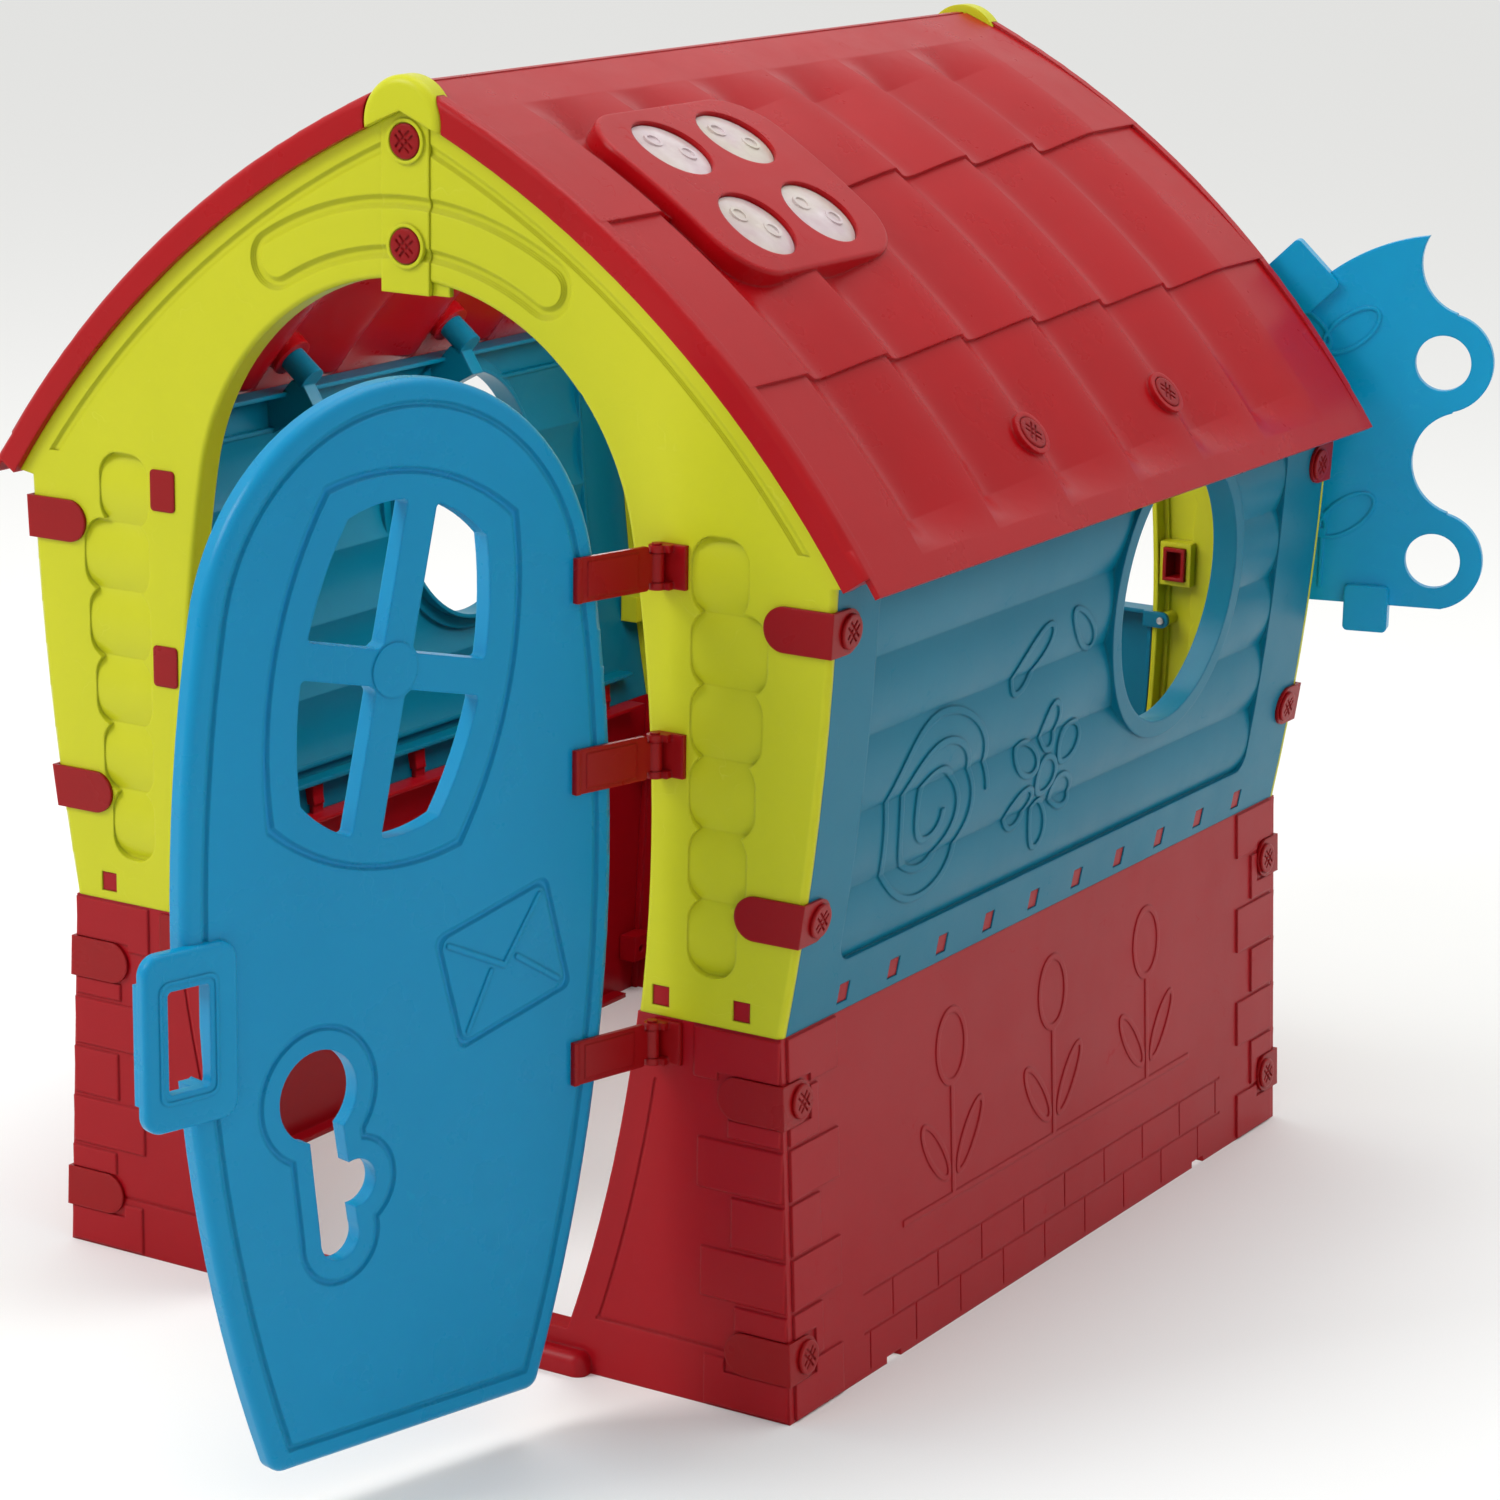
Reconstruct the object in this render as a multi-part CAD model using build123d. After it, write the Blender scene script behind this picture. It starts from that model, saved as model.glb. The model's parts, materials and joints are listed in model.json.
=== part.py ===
from build123d import *
import os
from math import asin, atan2, cos, degrees, radians, sin, sqrt

os.makedirs("parts", exist_ok=True)

# Plastic garden playhouse with a gable roof. Millimetres, +Z up, the door side faces -Y.
# The origin is on the floor, midway between the gables and between the side walls.

# ---- overall sizes
HOUSE_LENGTH = 950.0      # outer face of the front gable to outer face of the back gable
EAVE_WIDTH = 902.0        # eave to eave
RIDGE_Z = 1100.0
BASE_HEIGHT = 338.0       # top of the red base

# ---- wall line
EAVE_OVERHANG = 32.5      # eave tip beyond the shoulder of the wall
WALL_LEAN = 42.0          # shoulder beyond the waist
FOOT_FLARE = 16.0         # foot beyond the waist
WALL_BOW = 7.5            # bow of the upper wall between waist and shoulder
WALL_TOP_RISE = 30.0      # the side wall rises this far above the shoulder, under the eave
SKIN = 4.0                # moulded wall thickness
EDGE_SKIN = 8.0           # thickness of a gable along its edges
EDGE_BAND = 10.0          # width of that thicker edge
FLANGE_DEPTH = 24.0       # depth of the return around an opening
FLANGE_SKIN = 5.0

# ---- roof
ROOF_RADIUS = 988.0
ROOF_CENTRE_X = 368.0     # each half is an arc centred this far over on the other side
ROOF_SKIN = 5.0
ROW_STEP = 3.6
ROW_ARCS = (198.0, 383.0)  # where the tile rows step, along the slope from the ridge
ROOF_END_BAND = 90.0      # plain band at each end
TILE_COLUMNS = 6
TILE_DEPTH = 13.0
RIM_HEIGHT = 25.0
RIM_OVERHANG = 8.0        # rim proud of the gable
RIM_WIDTH = 15.5

# ---- doorway and door
PILASTER_WIDTH = 129.0    # waist to doorway edge
DOORWAY_TOP_DROP = 166.0  # ridge to top of doorway
DOORWAY_SIDE_RADIUS = 1390.0
DOORWAY_WIDEST_Z = 500.0
DOORWAY_SHOULDER = 20.5   # how much the top arc is narrower than the widest point
DOOR_GAP = 30.0
DOOR_BOTTOM_Z = 40.0
DOOR_DEPTH = 18.0
DOOR_OPEN = 75.0
SILL_HEIGHT = 36.0
STEP_HEIGHT = 20.0
STEP_DEPTH = 16.0

# ---- hinges
HINGE_FROM_EDGE = 10.5    # hinge pin beyond the widest point of the doorway
HINGE_PROUD = 12.0        # pin in front of the gable
HINGE_HEIGHT = 37.0
HINGE_LOWER_Z = 317.0
HINGE_MIDDLE_SHARE = 0.61
STRAP_LENGTH = 88.0
STRAP_SKIN = 4.0
PIN_DIAMETER = 6.0
PIN_PLAY = 0.05           # radial running clearance
SLOT_WIDTH = 24.0
SLOT_HEIGHT = 34.0
SLOT_PLAY = 0.3

# ---- tongues that hold the upper walls on the base
TONGUE_WIDTH = 16.0
TONGUE_RISE = 27.0
TONGUE_PLAY = 0.5
TONGUE_PITCH = 84.3
TONGUES_PER_SIDE = 10

# ---- corner clips and screws
CLIP_HEIGHT = 38.0
CLIP_FRONT = 62.0
CLIP_SIDE = 42.0
CLIP_SKIN = 3.2
SCREW_HEAD = 30.0
SCREW_HEAD_HEIGHT = 3.0
SCREW_SHANK = 8.0
SCREW_HOLE = 8.4

# ---- back window and shutters
INFILL_TOP_Z = 515.0
INFILL_PLAY = 1.2
SHUTTER_BOTTOM_Z = 532.0
SHUTTER_DEPTH = 10.0
SHUTTER_OPEN = 165.0
LOBE_PITCH = 99.0
LOBE_RADIUS = 49.0
LOBE_HOLE = 55.0
SEAM_PLAY = 3.0
RIGHT_LOBE_X = 7.0
LEFT_LOBE_X = -19.0

# ---- side windows and relief
WINDOW_Y = 163.0
WINDOW_DROP = 492.0       # ridge to window centre
WINDOW_WIDTH = 232.0
WINDOW_HEIGHT = 248.0
LOG_PITCH = 61.0
LOG_DEPTH = 7.0
LOG_CREST = 1.0
RELIEF = 1.6
BASE_RELIEF = 0.9

# ---- skylight
SKYLIGHT_Y = -233.0
SKYLIGHT_ARC = 203.0
SKYLIGHT_LENGTH = 257.0
SKYLIGHT_SLOPE = 216.0
LENS_DIAMETER = 76.0
LENS_PITCH_Y = 101.0
LENS_PITCH_ARC = 103.0
PAD_PROUD = 5.0

# ---- derived
FRONT_Y = -HOUSE_LENGTH / 2
INNER_Y = FRONT_Y + EDGE_SKIN
FLANGE_Y = FRONT_Y + FLANGE_DEPTH
EAVE_X = EAVE_WIDTH / 2
SHOULDER_X = EAVE_X - EAVE_OVERHANG
WAIST_X = SHOULDER_X - WALL_LEAN
FOOT_X = WAIST_X + FOOT_FLARE
ROOF_Z0 = RIDGE_Z - sqrt(ROOF_RADIUS**2 - ROOF_CENTRE_X**2)
SEAT_RADIUS = ROOF_RADIUS + ROW_STEP / 2 - RIM_HEIGHT
RIDGE_ANGLE = degrees(asin(ROOF_CENTRE_X / ROOF_RADIUS))
EAVE_ANGLE = degrees(asin((EAVE_X + ROOF_CENTRE_X) / ROOF_RADIUS))
HOOK_X = EAVE_X - 20.5
HOOK_Z = ROOF_Z0 + sqrt(SEAT_RADIUS**2 - (HOOK_X + ROOF_CENTRE_X)**2)
SHOULDER_Z = HOOK_Z - 2
DOORWAY_X = WAIST_X - PILASTER_WIDTH
APEX_Z = RIDGE_Z - DOORWAY_TOP_DROP
TOP_RADIUS = DOORWAY_X - DOORWAY_SHOULDER
TOP_Z = APEX_Z - TOP_RADIUS
SIDE_CENTRE_X = -sqrt((DOORWAY_SIDE_RADIUS - TOP_RADIUS)**2 - (TOP_Z - DOORWAY_WIDEST_Z)**2)
HINGE_X = DOORWAY_X + HINGE_FROM_EDGE
HINGE_Y = FRONT_Y - HINGE_PROUD
HINGE_UPPER_Z = SHOULDER_Z + 1
HINGE_MIDDLE_Z = HINGE_LOWER_Z + HINGE_MIDDLE_SHARE * (HINGE_UPPER_Z - HINGE_LOWER_Z)
SLOT_X = HINGE_X + 9
TONGUE_Z = BASE_HEIGHT + 17
CLIP_ZS = (SHOULDER_Z - 38, BASE_HEIGHT + 100)
BASE_CLIP_ZS = (BASE_HEIGHT - 59, 54.0)
LAP_X = 23.0

# circle of the bowed upper wall: through waist, bowed middle and shoulder
half_chord = sqrt((SHOULDER_Z - BASE_HEIGHT)**2 + WALL_LEAN**2) / 2
WALL_RADIUS = (half_chord**2 + WALL_BOW**2) / (2 * WALL_BOW)
lean_angle = atan2(WALL_LEAN, SHOULDER_Z - BASE_HEIGHT)
WALL_CX = (WAIST_X + SHOULDER_X) / 2 - (WALL_RADIUS - WALL_BOW) * cos(lean_angle)
WALL_CZ = (BASE_HEIGHT + SHOULDER_Z) / 2 + (WALL_RADIUS - WALL_BOW) * sin(lean_angle)


# ---------------------------------------------------------------- helpers
def wall_x(z, depth=0.0):
    """x of the upper side wall at height z, depth inside its outer face."""
    return WALL_CX + sqrt((WALL_RADIUS - depth)**2 - (z - WALL_CZ)**2)


def base_x(z, depth=0.0):
    """x of the base side wall at height z, depth inside its outer face."""
    return FOOT_X - FOOT_FLARE * z / BASE_HEIGHT - depth


def roof_x(z, radius):
    return sqrt(radius**2 - (z - ROOF_Z0)**2) - ROOF_CENTRE_X


def slab(face, y0, y1):
    """Extrudes a face drawn in (x, z) from y0 to y1."""
    plane = Plane(origin=(0, y1, 0), x_dir=(1, 0, 0), z_dir=(0, -1, 0))
    return extrude(plane * face, amount=y1 - y0)


def slab_x(face, x0, x1):
    """Extrudes a face drawn in (y, z) from x0 to x1."""
    plane = Plane(origin=(x0, 0, 0), x_dir=(0, 1, 0), z_dir=(1, 0, 0))
    return extrude(plane * face, amount=x1 - x0)


def block(x0, x1, y0, y1, z0, z1):
    centre = ((x0 + x1) / 2, (y0 + y1) / 2, (z0 + z1) / 2)
    return Pos(*centre) * Box(x1 - x0, y1 - y0, z1 - z0)


def polygon(*points):
    return make_face(Polyline(*points, close=True))


def rod_y(x, z, radius, y0, y1):
    return Pos(x, (y0 + y1) / 2, z) * Rot(90, 0, 0) * Cylinder(radius, y1 - y0)


def rod_x(y, z, radius, x0, x1):
    return Pos((x0 + x1) / 2, y, z) * Rot(0, 90, 0) * Cylinder(radius, x1 - x0)


def turned(solid):
    """The same moulding at the other gable or on the other slope."""
    return Rot(0, 0, 180) * solid


def mirrored(solid):
    return mirror(solid, about=Plane.YZ)


def arc_face(points):
    """Face bounded by straight runs and three-point arcs: an arc's middle point is a tuple in a list."""
    edges = []
    start = points[0]
    for step in points[1:] + [points[0]]:
        if isinstance(step, list):
            edges.append(ThreePointArc(start, step[0], step[1]))
            start = step[1]
        elif abs(step[0] - start[0]) + abs(step[1] - start[1]) > 1e-6:
            edges.append(Line(start, step))
            start = step
    return make_face(edges)


def side_arc_x(z, inset=0.0):
    return SIDE_CENTRE_X + sqrt((DOORWAY_SIDE_RADIUS - inset)**2 - (z - DOORWAY_WIDEST_Z)**2)


def doorway_face(inset, z_low):
    """The doorway outline, made smaller by inset, above z_low."""
    top = TOP_RADIUS - inset
    reach = DOORWAY_SIDE_RADIUS - TOP_RADIUS
    ux = -SIDE_CENTRE_X / reach
    uz = (TOP_Z - DOORWAY_WIDEST_Z) / reach
    join = (top * ux, TOP_Z + top * uz)
    mid_z = (z_low + join[1]) / 2
    foot = (side_arc_x(z_low, inset), z_low)
    mid = (side_arc_x(mid_z, inset), mid_z)
    left = lambda p: (-p[0], p[1])
    return arc_face([foot, [mid, join], [(0, TOP_Z + top), left(join)], [left(mid), left(foot)]])


def gable_face(inset, z_low=BASE_HEIGHT):
    """The gable outline above the base, made smaller by inset, without the doorway."""
    seat = SEAT_RADIUS - inset
    peak = (0, ROOF_Z0 + sqrt(seat**2 - ROOF_CENTRE_X**2))
    if inset == 0:
        corner = [(wall_x(SHOULDER_Z), SHOULDER_Z), (HOOK_X, HOOK_Z)]
    else:
        z = SHOULDER_Z
        for _ in range(60):
            z = ROOF_Z0 + sqrt(seat**2 - (wall_x(z, inset) + ROOF_CENTRE_X)**2)
        corner = [(wall_x(z, inset), z)]
    low = (wall_x(z_low, inset), z_low)
    mid_z = (z_low + corner[0][1]) / 2
    mid = (wall_x(mid_z, inset), mid_z)
    slope = (atan2(ROOF_CENTRE_X, peak[1] - ROOF_Z0)
             + atan2(corner[-1][0] + ROOF_CENTRE_X, corner[-1][1] - ROOF_Z0)) / 2
    roof_mid = (seat * sin(slope) - ROOF_CENTRE_X, ROOF_Z0 + seat * cos(slope))
    left = lambda p: (-p[0], p[1])
    points = [low, [mid, corner[0]]] + corner[1:] + [[roof_mid, peak]]
    points += [[left(roof_mid), left(corner[-1])]]
    points += [left(p) for p in corner[:-1]]
    points += [[left(mid), left(low)]]
    return arc_face(points)


def upper_band(d0, d1, z0, z1):
    """(x, z) section of the upper side wall between two depths and two heights."""
    zm = (z0 + z1) / 2
    return arc_face([
        (wall_x(z0, d0), z0),
        [(wall_x(zm, d0), zm), (wall_x(z1, d0), z1)],
        (wall_x(z1, d1), z1),
        [(wall_x(zm, d1), zm), (wall_x(z0, d1), z0)],
    ])


def base_band(d0, d1, z0, z1):
    return polygon((base_x(z0, d0), z0), (base_x(z1, d0), z1), (base_x(z1, d1), z1), (base_x(z0, d1), z0))


def round_circular_edges(solid, radius, edge_radius, y):
    """Rounds the front edges that lie on one circle of the outline."""
    picked = [
        e for e in solid.edges().filter_by(GeomType.CIRCLE)
        if abs(e.radius - edge_radius) < 0.5 and abs(e.center().Y - y) < 0.01
    ]
    return fillet(picked, radius)


def screw(length, head=SCREW_HEAD):
    """Coin-slot plastic screw along +Z: head above z = 0, shank below."""
    body = Pos(0, 0, SCREW_HEAD_HEIGHT / 2) * Cylinder(head / 2, SCREW_HEAD_HEIGHT)
    body = fillet(body.edges().filter_by(GeomType.CIRCLE).sort_by(Axis.Z)[-1], 1.2)
    body += Pos(0, 0, -length / 2) * Cylinder(SCREW_SHANK / 2, length)
    slot = Box(2.4, head * 0.66, 1.4)
    for angle in (45, 135):
        for offset_x in (-2.6, 2.6):
            body -= Rot(0, 0, angle) * Pos(offset_x, 0, SCREW_HEAD_HEIGHT - 0.7) * slot
    return body


def soft_groove(outline, width, depth, y):
    """Groove with stepped flanks. outline(grow) is the groove's centre line grown by a distance."""
    cut = None
    for share, level in ((1.0, 0.4), (0.72, 0.75), (0.44, 1.0)):
        half = width * share / 2
        layer = slab(outline(half) - outline(-half), y - 1, y + depth * level)
        cut = layer if cut is None else cut + layer
    return cut


def strip(start, end, width):
    """Straight line of the given width with round ends, as a face."""
    run = (end[0] - start[0], end[1] - start[1])
    length = sqrt(run[0]**2 + run[1]**2)
    middle = Pos((start[0] + end[0]) / 2, (start[1] + end[1]) / 2)
    return middle * Rot(0, 0, degrees(atan2(run[1], run[0]))) * SlotOverall(length + width, width)


# ---------------------------------------------------------------- gables
def log_boxes():
    """(z0, z1, x_in, x_out) of each log in the right pilaster's recess."""
    rows = []
    z = BASE_HEIGHT + 45
    while z + LOG_PITCH < SHOULDER_Z + 70:
        mid = z + LOG_PITCH / 2
        x_out = min(wall_x(mid) - 58, roof_x(mid, SEAT_RADIUS - 78))
        x_in = SLOT_X + 17
        if mid >= HINGE_UPPER_Z + 20:
            x_in = sqrt((TOP_RADIUS + 36)**2 - (mid - TOP_Z)**2)
        rows.append((z, z + LOG_PITCH, x_in, x_out))
        z += LOG_PITCH
    return rows


def log_column(skin=0.0):
    """Cut that leaves the stacked logs. With skin it is the filling behind the same recess."""
    outline = None
    logs = None
    sag = LOG_DEPTH - LOG_CREST
    radius = ((LOG_PITCH / 2)**2 + sag**2) / (2 * sag)
    for z0, z1, x_in, x_out in log_boxes():
        mid = (z0 + z1) / 2
        pad = Pos((x_in + x_out) / 2, mid) * RectangleRounded(
            x_out - x_in + 2 * skin, z1 - z0 + 7 + 2 * skin, 21)
        outline = pad if outline is None else outline + pad
        log = rod_x(FRONT_Y + LOG_CREST + radius, mid, radius, x_in - 20, x_out + 20)
        log &= block(x_in - 20, x_out + 20, FRONT_Y - 2, 0, z0, z1)
        logs = log if logs is None else logs + log
    cut = slab(outline, FRONT_Y - 1, FRONT_Y + LOG_DEPTH + skin)
    return cut if skin else cut - logs


def crescent_face(grow):
    """Band over the doorway, between two arcs, with round ends. grow moves its whole outline outward."""
    r0 = TOP_RADIUS + 22.5 - grow
    r1 = TOP_RADIUS + 64.5 + grow
    rm = (r0 + r1) / 2
    half = radians(31)
    wedge = polygon((0, 0), (-2 * r1 * sin(half), 2 * r1 * cos(half)), (0, 3 * r1),
                    (2 * r1 * sin(half), 2 * r1 * cos(half)))
    face = (Circle(r1) - Circle(r0)) & wedge
    for side in (-1, 1):
        face += Pos(side * rm * sin(half), rm * cos(half)) * Circle((r1 - r0) / 2)
    return Pos(0, TOP_Z) * face


def gable_rim_band(half):
    """Strip of a line that follows the roof edge, on both sides of the ridge."""
    centre_r = SEAT_RADIUS - 20
    band = None
    for side in (-1, 1):
        half_plane = Pos(side * 400, APEX_Z) * Rectangle(800, 2 * (APEX_Z - SHOULDER_Z - 24))
        ring = Circle(centre_r + half) - Circle(centre_r - half)
        piece = (Pos(-side * ROOF_CENTRE_X, ROOF_Z0) * ring) & half_plane
        band = piece if band is None else band + piece
    return band


def gable():
    """The whole yellow gable in one, before it is parted at the lap joint."""
    z_low = BASE_HEIGHT
    wall = slab(gable_face(0), FRONT_Y, INNER_Y)
    wall = round_circular_edges(wall, 5, WALL_RADIUS, FRONT_Y)
    wall -= slab(doorway_face(-FLANGE_SKIN, z_low - 60), FRONT_Y - 1, INNER_Y + 1)

    pocket = slab(gable_face(EDGE_BAND, z_low - 30), FRONT_Y + SKIN, INNER_Y + 1)
    pocket -= slab(doorway_face(-EDGE_BAND, z_low - 60), FRONT_Y, INNER_Y + 2)
    pocket -= slab(crescent_face(SKIN + 6), FRONT_Y, INNER_Y + 2)
    pocket -= slab(gable_rim_band(8), FRONT_Y, INNER_Y + 2)
    wall -= pocket
    wall -= soft_groove(crescent_face, 11, 3.2, FRONT_Y)
    for half, depth in ((4.5, 1.0), (3.2, 1.8), (2.0, 2.4)):
        wall -= slab(gable_rim_band(half), FRONT_Y - 1, FRONT_Y + depth)

    ring = doorway_face(-FLANGE_SKIN, z_low) - doorway_face(0, z_low - 1)
    flange = slab(ring, FRONT_Y, FLANGE_Y)
    flange = round_circular_edges(flange, 4.6, TOP_RADIUS, FRONT_Y)
    wall += flange

    rib = slab(gable_face(32) - gable_face(36), FRONT_Y + SKIN, FLANGE_Y)
    wall += rib & block(-600, 600, FRONT_Y, FLANGE_Y, TONGUE_Z + 18, RIDGE_Z)

    for place in (lambda s: s, mirrored):
        wall += place(log_column(SKIN) & block(0, 600, FRONT_Y, FLANGE_Y, 0, RIDGE_Z))
        wall -= place(log_column())
        for z in (HINGE_UPPER_Z, HINGE_MIDDLE_Z):
            frame = block(SLOT_X - 17, SLOT_X + 17, FRONT_Y + 1, FLANGE_Y - 2, z - 22, z + 22)
            wall += place(frame)
            wall -= place(slot_hole(z))
        for x in tongue_xs():
            wall -= place(block(x - TONGUE_WIDTH / 2 - TONGUE_PLAY, x + TONGUE_WIDTH / 2 + TONGUE_PLAY,
                                FRONT_Y - 1, INNER_Y + 1, TONGUE_Z - 9, TONGUE_Z + 9))
        for z in CLIP_ZS:
            wall += place(corner_lug(wall_x, z))
            wall -= place(corner_bore(wall_x, z))
        boss = rod_y(infill_ear_x(), INFILL_TOP_Z - 8, 7, FRONT_Y + 1, FLANGE_Y)
        wall += place(boss)
        wall -= place(rod_y(infill_ear_x(), INFILL_TOP_Z - 8, 1.7, FLANGE_Y - 16, FLANGE_Y + 1))
    return wall


def slot_hole(z):
    return block(SLOT_X - SLOT_WIDTH / 2, SLOT_X + SLOT_WIDTH / 2, FRONT_Y - 1, FLANGE_Y + 1,
                 z - SLOT_HEIGHT / 2, z + SLOT_HEIGHT / 2)


def tongue_xs():
    return (DOORWAY_X + 11, WAIST_X - 38.5)


def infill_ear_x():
    return side_arc_x(INFILL_TOP_Z) + 11


def corner_lug(line, z):
    """Lug on a gable or end base wall, inside the side wall, that takes a corner screw."""
    x1 = min(line(z - 14), line(z + 14)) - SKIN - 0.5
    return block(x1 - 20, x1, FRONT_Y + 1, FRONT_Y + CLIP_SIDE - 4, z - 14, z + 14)


def lap_screw_zs():
    peak = ROOF_Z0 + sqrt(SEAT_RADIUS**2 - ROOF_CENTRE_X**2)
    return (peak - 26, APEX_Z + 28)


def split_gable(wall):
    """Parts the gable at the lap joint: the left half carries the cover plate, the right half the tongue."""
    lap_low = APEX_Z - 12
    left = wall & block(-600, LAP_X, -600, 0, 0, RIDGE_Z + 50)
    left -= block(-LAP_X - 2, LAP_X + 1, FRONT_Y + SKIN + 0.1, 0, lap_low, RIDGE_Z)
    plate = gable_face(0, lap_low) - doorway_face(0, lap_low - 1)
    plate &= Pos(-1.5, APEX_Z + 60) * Rectangle(2 * LAP_X + 3, 260)
    cover = slab(plate, FRONT_Y - 1.5, FRONT_Y + SKIN)
    left += cover - soft_groove(crescent_face, 11, 3.2, FRONT_Y - 1.5)
    right = wall & block(LAP_X + 0.3, 600, -600, 0, 0, RIDGE_Z + 50)
    tongue = gable_face(2, lap_low) - doorway_face(-2, lap_low - 1)
    tongue &= Pos(8, APEX_Z + 60) * Rectangle(64, 260)
    right += slab(tongue, FRONT_Y + SKIN + 0.2, FRONT_Y + SKIN + 6)
    for z in lap_screw_zs():
        left += slab(Pos(0, z) * (Circle(SCREW_HEAD / 2 + 4) - Circle(SCREW_HEAD / 2 + 1)),
                     FRONT_Y - 4, FRONT_Y)
        left -= rod_y(0, z, SCREW_HOLE / 2, FRONT_Y - 5, FRONT_Y + 12)
        right -= rod_y(0, z, SCREW_HOLE / 2, FRONT_Y - 5, FRONT_Y + 12)
    return left, right


def lap_screws():
    face_y = FRONT_Y - 1.5
    return [Pos(0, face_y, z) * Rot(90, 0, 0) * screw(12) for z in lap_screw_zs()]


def ridge_cap():
    """Domed cap over the front end of the ridge, seated on the peak of the gable."""
    cap = rod_y(0, RIDGE_Z - 36, 40, FRONT_Y - 11, FRONT_Y + 11)
    cap = fillet(cap.edges().filter_by(GeomType.CIRCLE).sort_by(Axis.Y)[0], 8)
    cap -= slab(gable_face(0) + Pos(0, RIDGE_Z - 136) * Rectangle(60, 100), -600, 0)
    return cap


# ---------------------------------------------------------------- side walls
def side_wall():
    """Blue wall between the gables, +X side, with logs, window and tongue slots."""
    end = -INNER_Y
    top = SHOULDER_Z + WALL_TOP_RISE
    wall = slab(upper_band(0, SKIN, BASE_HEIGHT, top), -end, end)

    y0, y1 = FRONT_Y + 72, -FRONT_Y - 90
    z0, z1 = BASE_HEIGHT + 44, SHOULDER_Z - 6
    centre = Pos((y0 + y1) / 2, (z0 + z1) / 2)
    panel = centre * RectangleRounded(y1 - y0, z1 - z0, 22)
    inner = centre * RectangleRounded(y1 - y0 - 2 * SKIN, z1 - z0 - 2 * SKIN, 18)
    wall -= slab_x(panel, 0, 600)
    frame = slab(upper_band(0, LOG_DEPTH + SKIN, z0 - 5, z1 + 5), y0 - 5, y1 + 5)
    wall += frame & slab_x(panel - inner, 0, 600)
    logs = slab(log_band(0, z0, z1), y0, y1) & slab_x(panel, 0, 600)
    wall += logs

    window_z = RIDGE_Z - WINDOW_DROP
    here = Pos(WINDOW_Y, window_z)
    hole = here * Ellipse(WINDOW_WIDTH / 2, WINDOW_HEIGHT / 2)
    reveal = here * Ellipse(WINDOW_WIDTH / 2 + SKIN, WINDOW_HEIGHT / 2 + SKIN)
    rim = here * Ellipse(WINDOW_WIDTH / 2 + 16, WINDOW_HEIGHT / 2 + 16)
    low, high = window_z - WINDOW_HEIGHT / 2 - 20, window_z + WINDOW_HEIGHT / 2 + 20
    wall += slab(upper_band(-2.5, LOG_DEPTH + 3, low, min(high, top)), 0, end) & slab_x(rim, 0, 600)
    wall += slab(upper_band(0, 22, low, min(high, top)), 0, end) & slab_x(reveal, 0, 600)
    wall -= slab_x(hole, 0, 600)

    shelf = polygon((wall_x(top) - 28, top - 4), (wall_x(top - 4), top - 4), (wall_x(top), top),
                    (wall_x(top) - 28, top))
    wall += slab(shelf, -end, end)
    rib_z = TONGUE_Z + 14
    rib = slab(upper_band(1, 22, rib_z, rib_z + 4), -end + 45, end - 45)
    wall += rib

    for y in side_tongue_ys():
        wall -= block(0, 600, y - TONGUE_WIDTH / 2 - TONGUE_PLAY, y + TONGUE_WIDTH / 2 + TONGUE_PLAY,
                      TONGUE_Z - 9, TONGUE_Z + 9)
    for z in CLIP_ZS:
        bore = corner_bore(wall_x, z)
        wall -= bore
        wall -= mirror(bore, about=Plane.XZ)
    for y in roof_screw_ys():
        wall += roof_bracket(y)
    wall += side_relief() & slab(log_band(-RELIEF, z0, z1, RELIEF + 1), y0 + 6, y1 - 6)
    return wall


def log_band(lift, z0, z1, thickness=SKIN):
    """(x, z) section of the logged skin. A negative lift raises its outer face for relief."""
    count = round((z1 - z0) / LOG_PITCH)
    pitch = (z1 - z0) / count
    outer = [(wall_x(z0, LOG_DEPTH) - lift, z0)]
    for i in range(count):
        zm = z0 + (i + 0.5) * pitch
        ze = z0 + (i + 1) * pitch
        outer.append([(wall_x(zm, LOG_CREST) - lift, zm), (wall_x(ze, LOG_DEPTH) - lift, ze)])
    depth = lift + thickness
    inner = [(wall_x(z1, LOG_DEPTH) - depth, z1)]
    for i in reversed(range(count)):
        zm = z0 + (i + 0.5) * pitch
        ze = z0 + i * pitch
        inner.append([(wall_x(zm, LOG_CREST) - depth, zm), (wall_x(ze, LOG_DEPTH) - depth, ze)])
    return arc_face(outer + inner)


def ellipse_ring(half_w, half_h, width):
    return Ellipse(half_w, half_h) - Ellipse(half_w - width, half_h - width)


def side_relief():
    """Raised line drawing on the logs: a spiral, and a daisy with leaves."""
    z = BASE_HEIGHT + 152
    strokes = spiral_stroke(-262, z, 88, 6.5)
    daisy = Pos(-62, z - 12)
    strokes += daisy * (Circle(20) - Circle(14.5))
    for i in range(6):
        strokes += daisy * Rot(0, 0, 30 + 60 * i) * Pos(46, 0) * ellipse_ring(25, 17, 5.5)
    strokes += daisy * Pos(-52, 118) * Rot(0, 0, 40) * ellipse_ring(42, 17, 5.5)
    strokes += daisy * Pos(42, 128) * Rot(0, 0, -40) * ellipse_ring(34, 14, 5.5)
    return slab_x(strokes, 200, 600)


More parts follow.
